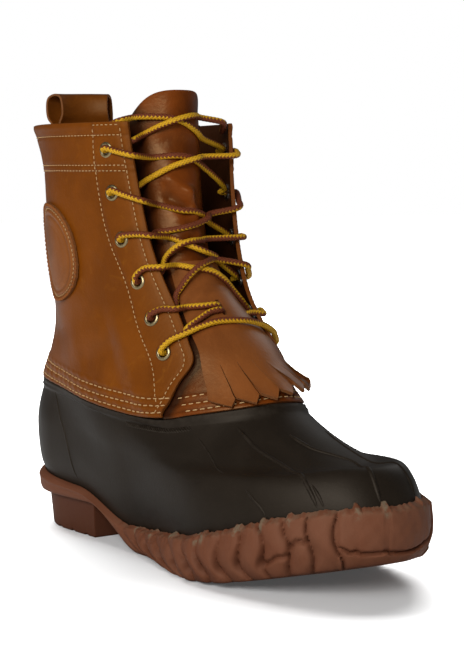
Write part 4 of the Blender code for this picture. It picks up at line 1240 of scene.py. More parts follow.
# %% [markdown]
# The lugs stand in rows across the forefoot. All are one turned profile, set down at the places of the table.

# %% Round lugs under the forefoot
def round_lugs(segments=28):
    """Each lug is a turned profile: down its side, round its edge and in to its middle."""
    spots = np.array([
        (x * BALL_WIDTH, along * LENGTH)
        for along, left, right, count in LUG_ROWS for x in np.linspace(left, right, count)
    ])
    radius = LUG_WIDTH / 2 * np.array([1.07, 1.02, 0.97, 0.88, 0.62, 0.56, 0.30, 0.0])
    height = LUG_HEIGHT * np.array([1.25, 0.6, 0.15, 0.0, 0.0, 0.30, 0.30, 0.30])
    x = spots[:, 0, None, None] + radius[:, None] * np.cos(circle(segments))
    y = spots[:, 1, None, None] + radius[:, None] * np.sin(circle(segments))
    z = ground(spots[:, 1])[:, None, None] + height[:, None]
    points = np.stack([x, y, np.maximum(z, ground(y))], -1)
    many = repeat_quads(ring_quads(len(radius), segments, turned=True), len(spots), len(radius) * segments)
    return build_mesh("round_lugs", points.reshape(-1, 3), many, weld=True)


add_piece("round_lugs", round_lugs(), SOLE_RUBBER)

# %% [markdown]
# The heel block is a D seen from below. The grid goes out from the middle of its tread, rounds the edge and
# climbs the side. Four half-round grooves cross the tread, so its lower edge is scalloped from the side.

# %% Heel block
HEEL_COLUMNS = 360
HEEL_SIDE = (
    # share of the outline, height in metres
    (0.936, 0.0003), (0.946, 0.0009), (0.952, 0.002), (0.964, 0.006), (0.976, 0.011), (0.990, 0.016),
    (1.0, heel_top() - GAP),
)


def heel_plan():
    """The block's outline: the heel of the form set in, and cut straight across at the breast."""
    back = np.linspace(0, 0.5, 400)
    outline = skin(back, 0.7, HEEL_RAND - HEEL_INSET)
    last = np.interp(-HEEL_FRONT * LENGTH, -outline[:, 1], back)
    side = skin(np.linspace(0, last, 200), 0.7, HEEL_RAND - HEEL_INSET)
    corner = side[-1]
    front = np.linspace(corner, corner * [-1, 1, 1], 60)[1:-1]
    plan = np.concatenate([side, front, side[:0:-1] * [-1, 1, 1]])
    closed = np.vstack([plan, plan[:1]])
    run = run_up(closed[:, :2])
    at = np.linspace(0, run[-1], HEEL_COLUMNS, endpoint=False)
    return np.stack([np.interp(at, run, closed[:, 0]), np.interp(at, run, closed[:, 1])], 1)


def tread_height(y):
    """Half-round grooves: the height of a circle over the floor where the tread crosses one."""
    total = np.zeros_like(y)
    for share in HEEL_GROOVES:
        total = np.maximum(total, np.sqrt(np.clip(GROOVE_RADIUS**2 - (y - share * LENGTH) ** 2, 0, None)))
    return total


def heel_block():
    plan = heel_plan()
    centre = np.array([0.0, plan[:, 1].mean()])
    top = heel_top() - GAP
    rows = []
    for scale, height in [(scale, 0.0) for scale in np.linspace(0, 0.925, 46)] + list(HEEL_SIDE):
        spot = centre + (plan - centre) * scale
        low = tread_height(spot[:, 1]) * (1 - ease(height / 0.004))
        rows.append(np.column_stack([spot, np.maximum(height, low)]))
    for scale in (0.5, 0.0):
        rows.append(np.column_stack([centre + (plan - centre) * scale, np.full(len(plan), top)]))
    points = np.stack(rows)
    return build_mesh("heel", points.reshape(-1, 3), ring_quads(len(points), len(plan)), weld=True)


add_piece("heel", heel_block(), HEEL_RUBBER, ["heel"], 40.0)

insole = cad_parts["insole"]
insole.data.materials.clear()
insole.data.materials.append(FELT)
print("insole material:", [s.material.name for s in insole.material_slots])

# %% [markdown]
# The shaft is one wall of leather from throat to throat round the back. Its columns spread evenly between the
# two throat edges and its rows between the stitched edge and the collar. Rows of stitches pull grooves into
# it, the facing behind the eyelets is a second layer, the collar is turned over, and a few soft creases are
# placed where the ankle bends.

# %% Leather shaft
SHAFT_COLUMNS, SHAFT_ROWS = 262, 158
BAND_ROWS = (0.0029, 0.0076, 0.0123)
COLLAR_ROWS = (0.0075, 0.0244, 0.0276)
FRONT_ROW = 0.0052
GROOVE_DEPTH, BAND_GROOVE, FINE_GROOVE = 0.00042, 0.0009, 0.0008
EDGE_ROLL = 0.0007
FACING = np.array([
    (5.60, 0.327), (6.03, 0.331), (7.42, 0.346), (8.27, 0.343), (9.36, 0.341), (10.7, 0.322), (11.8, 0.318),
    (13.0, 0.322),
])
SHAFT_CREASES = (
    # turn, level, turn, level, width in metres, height in metres
    (0.235, 6.9, 0.300, 7.5, 0.0070, -0.0009),
    (0.215, 7.4, 0.290, 8.2, 0.0090, 0.0007),
    (0.160, 7.6, 0.250, 8.6, 0.0080, -0.0006),
    (0.250, 9.0, 0.300, 9.8, 0.0080, -0.0005),
    (-0.235, 6.9, -0.310, 7.6, 0.0070, -0.0010),
    (-0.215, 7.5, -0.300, 8.4, 0.0090, 0.0008),
    (-0.150, 7.7, -0.250, 8.8, 0.0080, -0.0007),
    (0.040, 7.2, 0.130, 7.0, 0.0080, -0.0008),
    (-0.040, 7.2, -0.130, 7.0, 0.0080, -0.0008),
    (0.030, 10.8, 0.110, 10.4, 0.0090, -0.0005),
)


def shaft_grid():
    """Turn and level of every point. The turn shares out the throat's width, so it is found by stepping."""
    share = np.linspace(-1, 1, SHAFT_COLUMNS)[None]
    part = np.linspace(0, 1, SHAFT_ROWS)[:, None]
    turn = np.broadcast_to(share * 0.38, (SHAFT_ROWS, SHAFT_COLUMNS)).copy()
    for _ in range(24):
        level = seam(turn) + (COLLAR_LEVEL - seam(turn)) * part
        turn = 0.5 * turn + 0.5 * share * through(THROAT, level)
    return turn, level


def off_segment(points, a, b):
    """The nearest place on the straight line from a to b, as a share of the way, and the distance from it."""
    line = b - a
    t = np.clip(((points - a) @ line) / (line @ line), 0, 1)
    return t, np.linalg.norm(points - (a + t[..., None] * line), axis=-1)


def crease_field(turn, level, creases):
    """Adds up soft troughs and ridges, each a hill across the straight line between its two ends."""
    total, here = np.zeros(turn.shape), form(turn, level)
    for turn_a, level_a, turn_b, level_b, wide, height in creases:
        t, away = off_segment(here, form(turn_a, level_a), form(turn_b, level_b))
        total = total + height * hill(away, wide) * ease(t / 0.3 + 0.35) * ease((1 - t) / 0.3 + 0.35)
    return total


def off_line(turn, level, table):
    """Metres round from a line given as level and turn."""
    scale = np.linalg.norm(form(turn + 0.005, level) - form(turn - 0.005, level), axis=-1) / 0.01
    return (half_turn(turn) - through(table, level)) * scale


def shaft_relief(turn, level, base):
    """Height over the plain leather, and the mask of painted shade that darkens its grooves, its lower edge and its
    throat edges.
    """
    up, across = run_up(base, 0), run_up(base, 1)
    down = up[-1:] - up
    from_edge = np.minimum(across, across[:, -1:] - across)
    behind = off_line(turn, level, FACING)
    total = crease_field(turn, level, SHAFT_CREASES) + ripple(31, turn, level, (5.0, 0.35), 0.00030)
    in_band = 1 - ease((up - 0.0150) / 0.0015)
    gathers = 0.5 + 0.5 * np.sin(2 * math.pi * across / 0.0083 + 1.3 * np.sin(across * 90))
    total = total + in_band * 0.00035 * gathers
    fine = sum(hill(down - row, FINE_GROOVE) for row in COLLAR_ROWS) + hill(behind, FINE_GROOVE)
    fine = fine + hill(from_edge - FRONT_ROW, FINE_GROOVE) * (level > 5.9)
    grooves = sum(hill(up - row, BAND_GROOVE) for row in BAND_ROWS) + 0.75 * fine
    facing = 0.0004 * ease((behind + 0.0008) / 0.0016)
    collar = 0.0005 * hill(down - 0.0022, 0.0020) + 0.00035 * (1 - ease((down - 0.0270) / 0.0012))
    rolled = -0.0007 * np.exp(-up / EDGE_ROLL)
    total = total + facing + collar + rolled - GROOVE_DEPTH * grooves
    # Painted shade: dark in the stitch grooves, along the lower edge at the rubber rim and along both throat edges.
    rim = 1 - ease((from_edge - 0.0010) / 0.0008)
    fold = np.clip(0.55 * grooves + 0.35 * np.exp(-up / 0.0012) + 0.55 * rim, 0, 0.8)
    return total, fold


def eyelet_spots():
    """Centre on the leather's outer face and outward direction of all twelve eyelets, outer side first."""
    spots = []
    for side in (1, -1):
        for turn, level in EYELETS:
            here = side * turn
            round_it = on_quarter(here + 1e-3, level) - on_quarter(here - 1e-3, level)
            up_it = on_quarter(here, level + 0.05) - on_quarter(here, level - 0.05)
            spots.append((on_quarter(here, level), unit(np.cross(round_it, up_it))))
    return spots


EYELET_SPOTS = eyelet_spots()


def leather_shaft():
    turn, level = shaft_grid()
    base = on_quarter(turn, level)
    relief, fold = shaft_relief(turn, level, base)
    outer = base + outward(turn, level) * relief[..., None]
    inner = skin(turn, level, quarter_inside(turn, level) + crease_field(turn, level, SHAFT_CREASES))
    middle = (outer[:-1, :-1] + outer[1:, 1:]) / 2
    keep = np.ones(middle.shape[:2], bool)
    for place, _ in EYELET_SPOTS:
        keep &= np.linalg.norm(middle - place, axis=-1) > EYELET_HOLE + EYELET_WALL
    # Painted shade: the inner face is near black, the shade inside the boot.
    return wall_mesh("leather_shaft", outer, inner, keep=keep, marks={"fold": fold}, shade=0.95)


shaft = add_piece("leather_shaft", leather_shaft(), TAN_LEATHER, ["leather_shaft"])
soften(shaft)

# %% [markdown]
# Vamp and tongue are one long piece. It is sewn over the rubber at its foot, passes under both quarters and
# stands up behind the lace. Where the lace pulls on it the leather has puckered, and those folds are placed
# from a table like the creases of the shaft.

# %% Tongue
TONGUE_COLUMNS, TONGUE_ROWS = 104, 190
PUCKERS = (
    # turn, level, turn, level, width in metres, height in metres
    (0.455, 11.25, 0.500, 10.95, 0.0050, 0.0021),
    (0.500, 10.95, 0.522, 10.35, 0.0040, 0.0020),
    (0.450, 10.85, 0.492, 10.65, 0.0045, -0.0020),
    (0.470, 10.25, 0.515, 10.10, 0.0045, 0.0015),
    (0.480, 9.90, 0.530, 10.30, 0.0040, -0.0012),
    (0.455, 12.30, 0.530, 12.10, 0.0070, -0.0010),
    (0.455, 9.30, 0.520, 9.05, 0.0050, 0.0008),
)


def tongue_piece():
    share = np.linspace(-1, 1, TONGUE_COLUMNS)[None]
    part = np.linspace(0, 1, TONGUE_ROWS)[:, None]
    reach = 0.160 - 0.035 * ease((part - 0.02) / 0.25) + 0.017 * (1 - ease(part / 0.09))
    drop = 0.07 * ease((part - 0.85) / 0.15)
    turn = 0.5 + share * reach
    low = seam(turn)
    top = TONGUE_LEVEL - 14 * drop * np.abs(share) ** 3
    level = low + (top - low) * part
    base = tongue_skin(turn, level, TONGUE_GAP + LEATHER)
    normals = grid_normals(base)
    up, across = run_up(base, 0), run_up(base, 1)
    from_edge = np.minimum(across, across[:, -1:] - across)
    from_top = up[-1:] - up
    swell = 0.0
    for turn_a, level_a, turn_b, level_b, wide, height in PUCKERS:
        ends = tongue_skin(np.array([turn_a, turn_b]), np.array([level_a, level_b]), TONGUE_GAP + LEATHER)
        swell = swell + height * hill(off_segment(base, *ends)[1], wide * 0.8)
    grooves = sum(hill(up - row, BAND_GROOVE) for row in BAND_ROWS)
    free = ease((level - 6.4) / 0.6)
    relief = swell + ripple(57, turn, level, (6.0, 0.4), 0.00035) * free
    relief = relief - GROOVE_DEPTH * grooves - 0.0006 * np.exp(-up / EDGE_ROLL)
    relief = relief + 0.0005 * np.exp(-from_top / 0.002) * free
    # Painted shade: darker in the stitch grooves and in the troughs of the puckers, in a strip along both sides, and
    # near black under the quarters and a few millimetres out from their edges, where their shadow falls.
    fold = 0.5 * grooves + 250 * np.clip(-swell, 0, None)
    shadow_under_quarters = 1 - ease((off_line(turn, level, THROAT) - 0.0030) / 0.0060)
    fold = fold + 0.88 * free * ease((0.0165 - from_edge) / 0.008)
    fold = np.clip(np.maximum(fold, 0.9 * shadow_under_quarters), 0, 0.9)
    outer = base + normals * relief[..., None]
    inner = base + normals * (np.where(level > 7, swell, 0.0) - LEATHER)[..., None]
    # Painted shade: the tongue's back face is near black.
    return wall_mesh("tongue", outer, inner, marks={"fold": fold}, shade=0.9)


tongue = add_piece("tongue", tongue_piece(), RED_LEATHER, ["tongue"])
soften(tongue)

# %% [markdown]
# The kiltie is a false tongue with a fringe. It is cut into eight tabs, each slit widens downwards and each
# tab ends in a blunt point. The tips have dried and curl away from the boot, the inner ones most. A slot
# lets the lace through so that it holds the piece down.

# %% Kiltie
TABS = 8
TAB_COLUMNS = 15
KILTIE_ROWS = 84
KILTIE = np.array([
    (6.15, 0.537, 0.142), (6.45, 0.528, 0.127), (6.85, 0.513, 0.105), (7.2, 0.503, 0.089), (7.9, 0.500, 0.083),
    (8.7, 0.500, 0.080), (9.5, 0.500, 0.078),
])
KILTIE_LOW, KILTIE_TOP = 6.15, 9.5
FRINGE_TOP, FRINGE_REACH = 6.92, 0.77
TAB_APEX = 0.64
SLIT_TOPS = (6.86, 6.90, 6.94, 6.90, 6.92, 6.88, 6.84)
TIP_LIFTS = (0.5, 0.9, 1.2, 1.3, 2.2, 3.6, 6.8, 11.5)
SLOT = (0.4905, 8.36)
SLOT_SIZE = (0.0021, 0.36)


def kiltie_piece():
    tab = np.repeat(np.arange(TABS), TAB_COLUMNS)
    within = np.tile(np.linspace(0, 1, TAB_COLUMNS), TABS)
    rows = np.linspace(0, 1, KILTIE_ROWS)
    plain = KILTIE_LOW + (KILTIE_TOP - KILTIE_LOW) * rows[:, None] ** 1.1
    slit = np.interp(plain, [KILTIE_LOW, FRINGE_TOP], [0.026, 0.010])
    across = ((tab + slit + (1 - 2 * slit) * within) / TABS) * 2 - 1
    tip = np.clip((FRINGE_TOP - plain) / FRINGE_REACH, 0, 1)
    blunt = np.where(within < TAB_APEX, 1 - within / TAB_APEX, 0.9 * (within - TAB_APEX) / (1 - TAB_APEX))
    middle, reach = through(KILTIE[:, [0, 1]], plain), through(KILTIE[:, [0, 2]], plain)
    turn = middle + across * reach
    level = plain + tip**1.5 * (0.21 * blunt - 0.17) + 0.3 * ease(tip) * (0.5 - np.abs(across))
    lift = np.array(TIP_LIFTS)[tab] * 0.001 * tip**1.5
    cup = 0.0004 * tip * (2 * within - 1) ** 2 * np.where(tab % 2 == 0, 1.0, -0.5)
    out = TONGUE_GAP + LEATHER + STACK_GAP + LEATHER + lift + cup
    base = tongue_skin(turn, level, out)
    normals = grid_normals(base)
    bump = ripple(71, turn, level, (7.0, 0.6), 0.00030)
    outer = base + normals * bump[..., None]
    inner = base - normals * LEATHER
    in_gap = (tab[1:] != tab[:-1]) & (plain[:-1] < np.append(SLIT_TOPS, KILTIE_LOW)[tab[:-1]])
    slot_wide = SLOT_SIZE[0] / along_turn(*SLOT)
    in_slot = (np.abs(turn - SLOT[0]) <= slot_wide / 2) & (np.abs(level - SLOT[1]) <= SLOT_SIZE[1] / 2)
    # Painted shade: darker along each tab's sides at the slits, more towards the tips, and a little darker along the
    # top.
    fold = 0.35 * np.exp(-np.minimum(within, 1 - within) / 0.08) * tip + 0.15 * (1 - tip) * (rows[:, None] > 0.8)
    keep = ~in_gap & ~in_slot[:-1, :-1]
    return wall_mesh("kiltie", outer, inner, keep=keep, marks={"fold": np.clip(fold, 0, 0.6)})


kiltie = add_piece("kiltie", kiltie_piece(), FRINGE_LEATHER, ["kiltie"])
soften(kiltie, 0.0003)


# %% [markdown]
# Three smaller pieces of leather sit on the shaft: the strip over the back seam, the pull loop that is folded
# over the collar, and the plain round patch on the outer side. Each is its own little grid on the same form.

# %% Backstay, pull loop and patch
def shaft_level(turn, share):
    """Level at a share of the way from the top of the stitched band to the collar."""
    start = seam(turn) + band(turn)
    return start + (COLLAR_LEVEL - start) * share


STRAP_STITCH_INSET = 0.0028
STRAP_LIFT = 1.8 * CURVED_GAP


def backstay_piece():
    share = np.linspace(-1, 1, 27)[None]
    part = np.linspace(0.0, 0.82, 110)[:, None]
    middle = shaft_level(0.0, part)
    turn = BACK_TURN * ease(part) + share * BACKSTAY_WIDTH / 2 / along_turn(0.02, 9.0)
    level = shaft_level(turn, part)
    out = quarter_outside(turn, middle) + STRAP_LIFT
    grooves = hill((1 - np.abs(share)) * BACKSTAY_WIDTH / 2 - STRAP_STITCH_INSET, FINE_GROOVE)
    outer = skin(turn, level, out + STRAP - 0.0004 * grooves)
    inner = skin(turn, level, out)
    # Painted shade in the stitch grooves.
    return wall_mesh("backstay", outer, inner, marks={"fold": np.broadcast_to(0.5 * grooves, turn.shape)})


LOOP_PATH = np.array([
    # level, and how far out from the form
    (12.25, LEATHER + CURVED_GAP + TONGUE_GAP), (13.05, LEATHER + CURVED_GAP + TONGUE_GAP),
    (13.35, LEATHER / 2 + LOOP_DEPTH), (13.7, LEATHER / 2 + LOOP_DEPTH), (13.9, LEATHER / 2 + 0.7 * LOOP_DEPTH),
    (13.98, LEATHER / 2), (13.9, LEATHER / 2 - 0.7 * LOOP_DEPTH), (13.7, LEATHER / 2 - LOOP_DEPTH),
    (13.35, LEATHER / 2 - LOOP_DEPTH), (13.05, -2 * CURVED_GAP), (12.6, -2 * CURVED_GAP),
])


def pull_loop_piece():
    """The strap's path in level and distance out is smoothed, and the strap is as wide as its turns."""
    share = np.linspace(-1, 1, 35)[None]
    scaled = np.column_stack([LOOP_PATH[:, 0] * 0.02, LOOP_PATH[:, 1], np.zeros(len(LOOP_PATH))])
    smooth = smooth_path(scaled, 0.0007)
    level, out = smooth[:, :1] / 0.02, smooth[:, 1:2]
    level = np.minimum(level, 13.98)
    turn = BACK_TURN + share * STRAP_WIDTH / 2 / along_turn(0.02, 12.8) + np.zeros((len(smooth), 1))
    inner = skin(turn, level, out)
    normals = grid_normals(inner)
    grooves = hill((1 - np.abs(share)) * STRAP_WIDTH / 2 - 0.0030, FINE_GROOVE) * (level < 12.9)
    worn = ripple(83, turn, level, (12.0, 1.0), 0.00020)
    outer = inner + normals * (STRAP + worn - 0.0003 * grooves)[..., None]
    # Painted shade in the stitch grooves.
    return wall_mesh("pull_loop", outer, inner, marks={"fold": 0.4 * grooves})


PATCH_STITCH = 0.0258


def patch_point(radius, angle, out):
    """A point of the round patch, from its distance and direction from the patch's centre."""
    turn, level = PATCH_CENTRE
    turns = turn + np.cos(angle) * radius / along_turn(turn, level)
    levels = level + np.sin(angle) * radius / along_level(turn, level)
    return on_quarter(turns, levels, CURVED_GAP + out), turns, levels


def patch_piece():
    """Rings from the rim to the middle. The rim is thick and ragged, the stitch row is a groove, and inside
    it two fine pressed rings frame a bare middle."""
    angle = circle(200)[None]
    radius = np.concatenate([np.linspace(1.0, 0.80, 26), np.linspace(0.79, 0.0, 24)])[:, None] * PATCH_RADIUS
    uneven = 0.009 * ripple(91, angle / (2 * math.pi) * 6, 0 * angle, (9.0, 1.0)) + 0.004 * np.sin(angle * 71)
    ragged = 1 + uneven * ease((radius - 0.024) / 0.004)
    rim = 0.0007 * ease((radius - 0.0268) / 0.0006) + 0.0004 * hill(radius - 0.0240, 0.0009)
    pressed = -0.00045 * hill(radius - 0.0222, 0.0005) - 0.00030 * hill(radius - 0.0172, 0.0004)
    groove = -0.0005 * hill(radius - PATCH_STITCH, 0.0007)
    knurl = 0.00030 * np.sin(angle * 71 + 1.5) * ease((radius - 0.0266) / 0.0006)
    height = PATCH + rim + pressed + groove + knurl
    outer, inner = (patch_point(radius * ragged, angle, out)[0] for out in (height, 0.0))
    # Painted shade in the stitch groove and in the larger pressed ring.
    fold = np.clip(0.5 * hill(radius - PATCH_STITCH, 0.0008) + 0.35 * hill(radius - 0.0222, 0.0006), 0, 1)
    fold = np.broadcast_to(fold, height.shape)
    return wall_mesh("side_patch", outer, inner, closed=True, marks={"fold": fold}, weld=True)


backstay = add_piece("backstay", backstay_piece(), STRAP_LEATHER, ["backstay"])
loop = add_piece("pull_loop", pull_loop_piece(), STRAP_LEATHER, ["pull_loop"])
add_piece("side_patch", patch_piece(), PATCH_LEATHER, ["side_patch"])
soften(backstay, 0.0003)
soften(loop, 0.0004)

# %% [markdown]
# An eyelet is a turned tube of brass with a rolled flange in front and a smaller one behind the leather. One
# profile of radius and height is turned round, and the ring is laid on the leather by its centre and normal.

# %% Eyelets
EYELET_PROFILE = np.array([
    # radius, height over the leather's outer face
    (0.0024, -0.0022), (0.0024, -0.0010), (0.0024, 0.0002), (0.0026, 0.0009), (0.0031, 0.0012), (0.0038, 0.0011),
    (0.0043, 0.0008), (0.0046, 0.0004), (0.0046, 0.0002), (0.0040, 0.0002), (0.0031, 0.0002), (0.0030, -0.0010),
    (0.0030, -0.0022), (0.0040, -0.0023), (0.0042, -0.0026), (0.0036, -0.0029), (0.0028, -0.0028), (0.0024, -0.0025),
])


EYELET_SEGMENTS = 32


def turned(place, normal, radii, heights):
    """A profile turned round a normal: radius times cosine and sine, and height along the normal."""
    side = unit(np.cross(normal, [0.0, 0.0, 1.0]))
    angle = circle(EYELET_SEGMENTS)[:, None]
    ring = np.cos(angle) * side + np.sin(angle) * np.cross(side, normal)
    return place + radii[..., None] * ring + heights[:, None, None] * normal


def eyelet_mesh(name, place, normal):
    profile = np.vstack([EYELET_PROFILE, EYELET_PROFILE[:1]])
    points = turned(place, normal, profile[:, :1], profile[:, 1])
    return build_mesh(name, points.reshape(-1, 3), ring_quads(len(profile), EYELET_SEGMENTS), weld=True)


def washers():
    """Toothed rings behind the leather: a small closed profile turned round, its outer radius up and down."""
    teeth = np.where(np.arange(EYELET_SEGMENTS) % 2 == 0, 0.0050, 0.0043)
    bore = np.full(EYELET_SEGMENTS, 0.0031)
    radii = np.stack([bore, bore, teeth, teeth, bore])
    heights = np.array([-0.0020, -0.0026, -0.0026, -0.0021, -0.0020])
    points = np.concatenate([turned(*spot, radii, heights) for spot in EYELET_SPOTS])
    one = ring_quads(len(radii), EYELET_SEGMENTS, turned=True)
    quads = repeat_quads(one, len(EYELET_SPOTS), radii.size)
    return build_mesh("eyelet_washers", points.reshape(-1, 3), quads, weld=True)


add_piece("eyelet_washers", washers(), STEEL, (), 30.0)

for number, (place, normal) in enumerate(EYELET_SPOTS):
    side = "outer" if number < len(EYELETS) else "inner"
    name = f"eyelet_{side}_{number % len(EYELETS) + 1}"
    add_piece(name, eyelet_mesh(name, place, normal), BRASS, [name], 80.0)

# %% [markdown]
# One lace runs through all twelve eyelets. Each strand comes up from behind one eyelet, slips out under the
# leather's edge, crosses the tongue, goes over the other edge and dives into the next eyelet up. The two ends
# leave the top eyelets and disappear behind the collar. The stops of each strand are listed turns and levels.
# A third number tells what the strand lies on or under there, and a fourth lifts it where it crosses
# another strand.

# %% Lace strands
ON_LEATHER, ON_TONGUE, UNDER_LEATHER = 0, 1, 2
LACE_ROUTES = {
    # the eyelets at its ends, from 1 at the top and below nought on the inner side, then its stops: turn,
    # level, layer, and extra rise in tenths of a millimetre
    "lace_bar": (6, -6, (
        (0.372, 7.42, 0, 10), (0.388, 7.66, 0, 3), (0.408, 7.8, 0, 0), (0.438, 7.93, 1, 6), (0.467, 8.01, 1, 4),
        (0.515, 7.97, 1, 4), (0.560, 7.84, 1, 6), (0.596, 7.67, 0, 0), (0.615, 7.5, 0, 3), (0.628, 7.38, 0, 10),
    )),
    "lace_5_low": (6, -5, (
        (0.382, 7.5, 2, 0), (0.404, 7.76, 2, 0), (0.415, 7.9, 1, 2), (0.440, 8.12, 1, 0), (0.462, 8.26, 1, 0),
        (0.482, 8.3, 1, -4), (0.494, 8.31, 1, -40), (0.520, 8.28, 1, -43), (0.560, 8.22, 1, -43),
        (0.584, 8.2, 1, -6), (0.602, 8.21, 0, 0), (0.615, 8.25, 0, 4), (0.628, 8.28, 0, 10),
    )),
    "lace_5_high": (5, -6, (
        (0.373, 8.4, 0, 10), (0.389, 8.5, 0, 3), (0.408, 8.48, 0, 0), (0.428, 8.44, 1, 2), (0.455, 8.43, 1, 0),
        (0.480, 8.43, 1, -4), (0.492, 8.42, 1, -40), (0.520, 8.28, 1, -43), (0.560, 7.95, 1, -43),
        (0.615, 7.45, 2, 0),
    )),
    "lace_4_low": (5, -4, (
        (0.385, 8.42, 2, 0), (0.404, 8.58, 2, 0), (0.418, 8.74, 1, 0), (0.431, 8.92, 1, 4), (0.448, 9.1, 1, 26),
        (0.470, 9.27, 1, 34), (0.491, 9.37, 1, 30), (0.520, 9.47, 1, 6), (0.550, 9.5, 1, 0),
        (0.590, 9.45, 0, 0), (0.615, 9.34, 0, 4), (0.630, 9.24, 0, 10),
    )),
    "lace_4_high": (4, -5, (
        (0.366, 9.32, 0, 10), (0.382, 9.46, 0, 3), (0.407, 9.46, 0, 0), (0.435, 9.4, 1, 0), (0.465, 9.32, 1, 0),
        (0.508, 9.23, 1, 0), (0.541, 9.05, 1, 0), (0.575, 8.82, 1, -8), (0.616, 8.45, 2, 0),
    )),
    "lace_3_low": (4, -3, (
        (0.380, 9.28, 2, 0), (0.400, 9.42, 2, 0), (0.418, 9.58, 1, 0), (0.436, 9.74, 1, 22),
        (0.456, 9.84, 1, 34), (0.481, 9.9, 1, 24), (0.515, 9.94, 1, 0), (0.550, 9.98, 1, 0),
        (0.598, 10.05, 0, 0), (0.620, 10.08, 0, 4), (0.640, 10.1, 0, 10),
    )),
    "lace_3_high": (3, -4, (
        (0.356, 10.17, 0, 10), (0.380, 10.18, 0, 3), (0.401, 10.14, 0, 0), (0.437, 10.04, 1, 0),
        (0.467, 9.87, 1, 0), (0.503, 9.69, 1, 0), (0.546, 9.57, 1, 0), (0.578, 9.45, 1, 0),
        (0.622, 9.27, 2, -4),
    )),
    "lace_2_low": (3, -2, (
        (0.372, 10.12, 2, 0), (0.394, 10.15, 2, 0), (0.412, 10.17, 1, 0), (0.440, 10.19, 1, 0),
        (0.481, 10.24, 1, 0), (0.520, 10.32, 1, 10), (0.545, 10.4, 1, 30), (0.570, 10.5, 1, 30),
        (0.600, 10.66, 0, 0), (0.622, 10.82, 0, 4), (0.645, 11, 0, 10),
    )),
    "lace_2_high": (2, -3, (
        (0.350, 11.1, 0, 10), (0.370, 10.97, 0, 3), (0.396, 10.83, 0, 0), (0.420, 10.72, 1, 0),
        (0.470, 10.58, 1, 0), (0.508, 10.55, 1, 0), (0.552, 10.46, 1, 0), (0.580, 10.34, 1, 8),
        (0.632, 10.16, 2, -6),
    )),
    "lace_1_low": (2, -1, (
        (0.364, 11.08, 2, 0), (0.382, 11.15, 2, 0), (0.404, 11.26, 1, 0), (0.432, 11.42, 1, 0),
        (0.462, 11.57, 1, 0), (0.495, 11.68, 1, 14), (0.524, 11.76, 1, 32), (0.555, 11.82, 1, 24),
        (0.595, 11.9, 0, 0), (0.622, 12.02, 0, 4), (0.648, 12.08, 0, 10),
    )),
    "lace_1_high": (1, -2, (
        (0.348, 12.14, 0, 10), (0.366, 12.02, 0, 3), (0.390, 11.9, 0, 0), (0.420, 11.83, 1, 0),
        (0.464, 11.85, 1, 0), (0.500, 11.82, 1, 0), (0.524, 11.73, 1, 0), (0.560, 11.58, 1, 8),
        (0.636, 11.18, 2, -8),
    )),
}
END_ROUTES = {
    "lace_end_outer": (1, None, (
        (0.362, 12.22, 2, 0), (0.385, 12.38, 2, 0), (0.408, 12.57, 1, 0), (0.437, 12.83, 1, 12),
        (0.467, 13.02, 1, 34), (0.500, 13.14, 1, 34), (0.530, 13.17, 1, 14), (0.560, 13.14, 1, 0),
        (0.590, 13.04, 2, 0), (0.615, 12.9, 2, 0), (0.640, 12.75, 2, 0),
    )),
    "lace_end_inner": (-1, None, (
        (0.636, 12.18, 2, -6), (0.575, 12.42, 1, 8), (0.540, 12.65, 1, 0), (0.503, 12.92, 1, 0),
        (0.475, 13.06, 1, 0), (0.451, 13.13, 1, 0), (0.418, 13.14, 1, 22), (0.392, 13.12, 1, 40),
        (0.365, 13.04, 2, 10), (0.340, 12.9, 2, 0),
    )),
}


def lace_stop(turn, level, layer, tenths):
    """The lace's centre at a stop, and the outward direction there."""
    normal, extra = outward(turn, level), tenths * 1e-4
    if layer == ON_LEATHER:
        return (*on_quarter(turn, level, LACE / 2 + 0.0005 + extra), *normal)
    if layer == ON_TONGUE:
        stacked = LEATHER + TONGUE_GAP + (LEATHER + STACK_GAP) * (1 - ease((level - 9.6) / 0.5))
        return (*tongue_skin(turn, level, stacked + LACE / 2 + 0.0006 + extra), *normal)
    return (*skin(turn, level, quarter_inside(turn, level) - LACE / 2 - 0.0010 + extra), *normal)


BEHIND_EYELET, IN_EYELET, BEFORE_EYELET = -0.0060, -0.0012, 0.0026


def through_eyelet(number, layer):
    """Stops from behind an eyelet to before it, or the one behind it where the strand stays under the leather."""
    place, normal = EYELET_SPOTS[abs(number) - 1 + (len(EYELETS) if number < 0 else 0)]
    heights = (BEHIND_EYELET,) if layer == UNDER_LEATHER else (BEHIND_EYELET, IN_EYELET, BEFORE_EYELET)
    return [(*(place + normal * height), *normal) for height in heights]


def lace_path(first, last, stops):
    """The strand as centre points with an up vector."""
    rows = through_eyelet(first, stops[0][2]) + [lace_stop(*stop) for stop in stops]
    if last:
        rows += through_eyelet(last, stops[-1][2])[::-1]
    return smooth_path(rows, LACE_STEP)


def steady_up(path, hint):
    """Up vectors carried both ways from the middle, so that the tube doesn't twist where it dives in."""
    ahead = unit(np.gradient(path, axis=0))
    middle = len(path) // 2
    up = np.zeros_like(path)
    up[middle] = unit(hint[middle] - ahead[middle] * (hint[middle] @ ahead[middle]))
    for k in range(middle + 1, len(path)):
        up[k] = unit(up[k - 1] - ahead[k] * (up[k - 1] @ ahead[k]))
    for k in range(middle - 1, -1, -1):
        up[k] = unit(up[k + 1] - ahead[k] * (up[k + 1] @ ahead[k]))
    return up


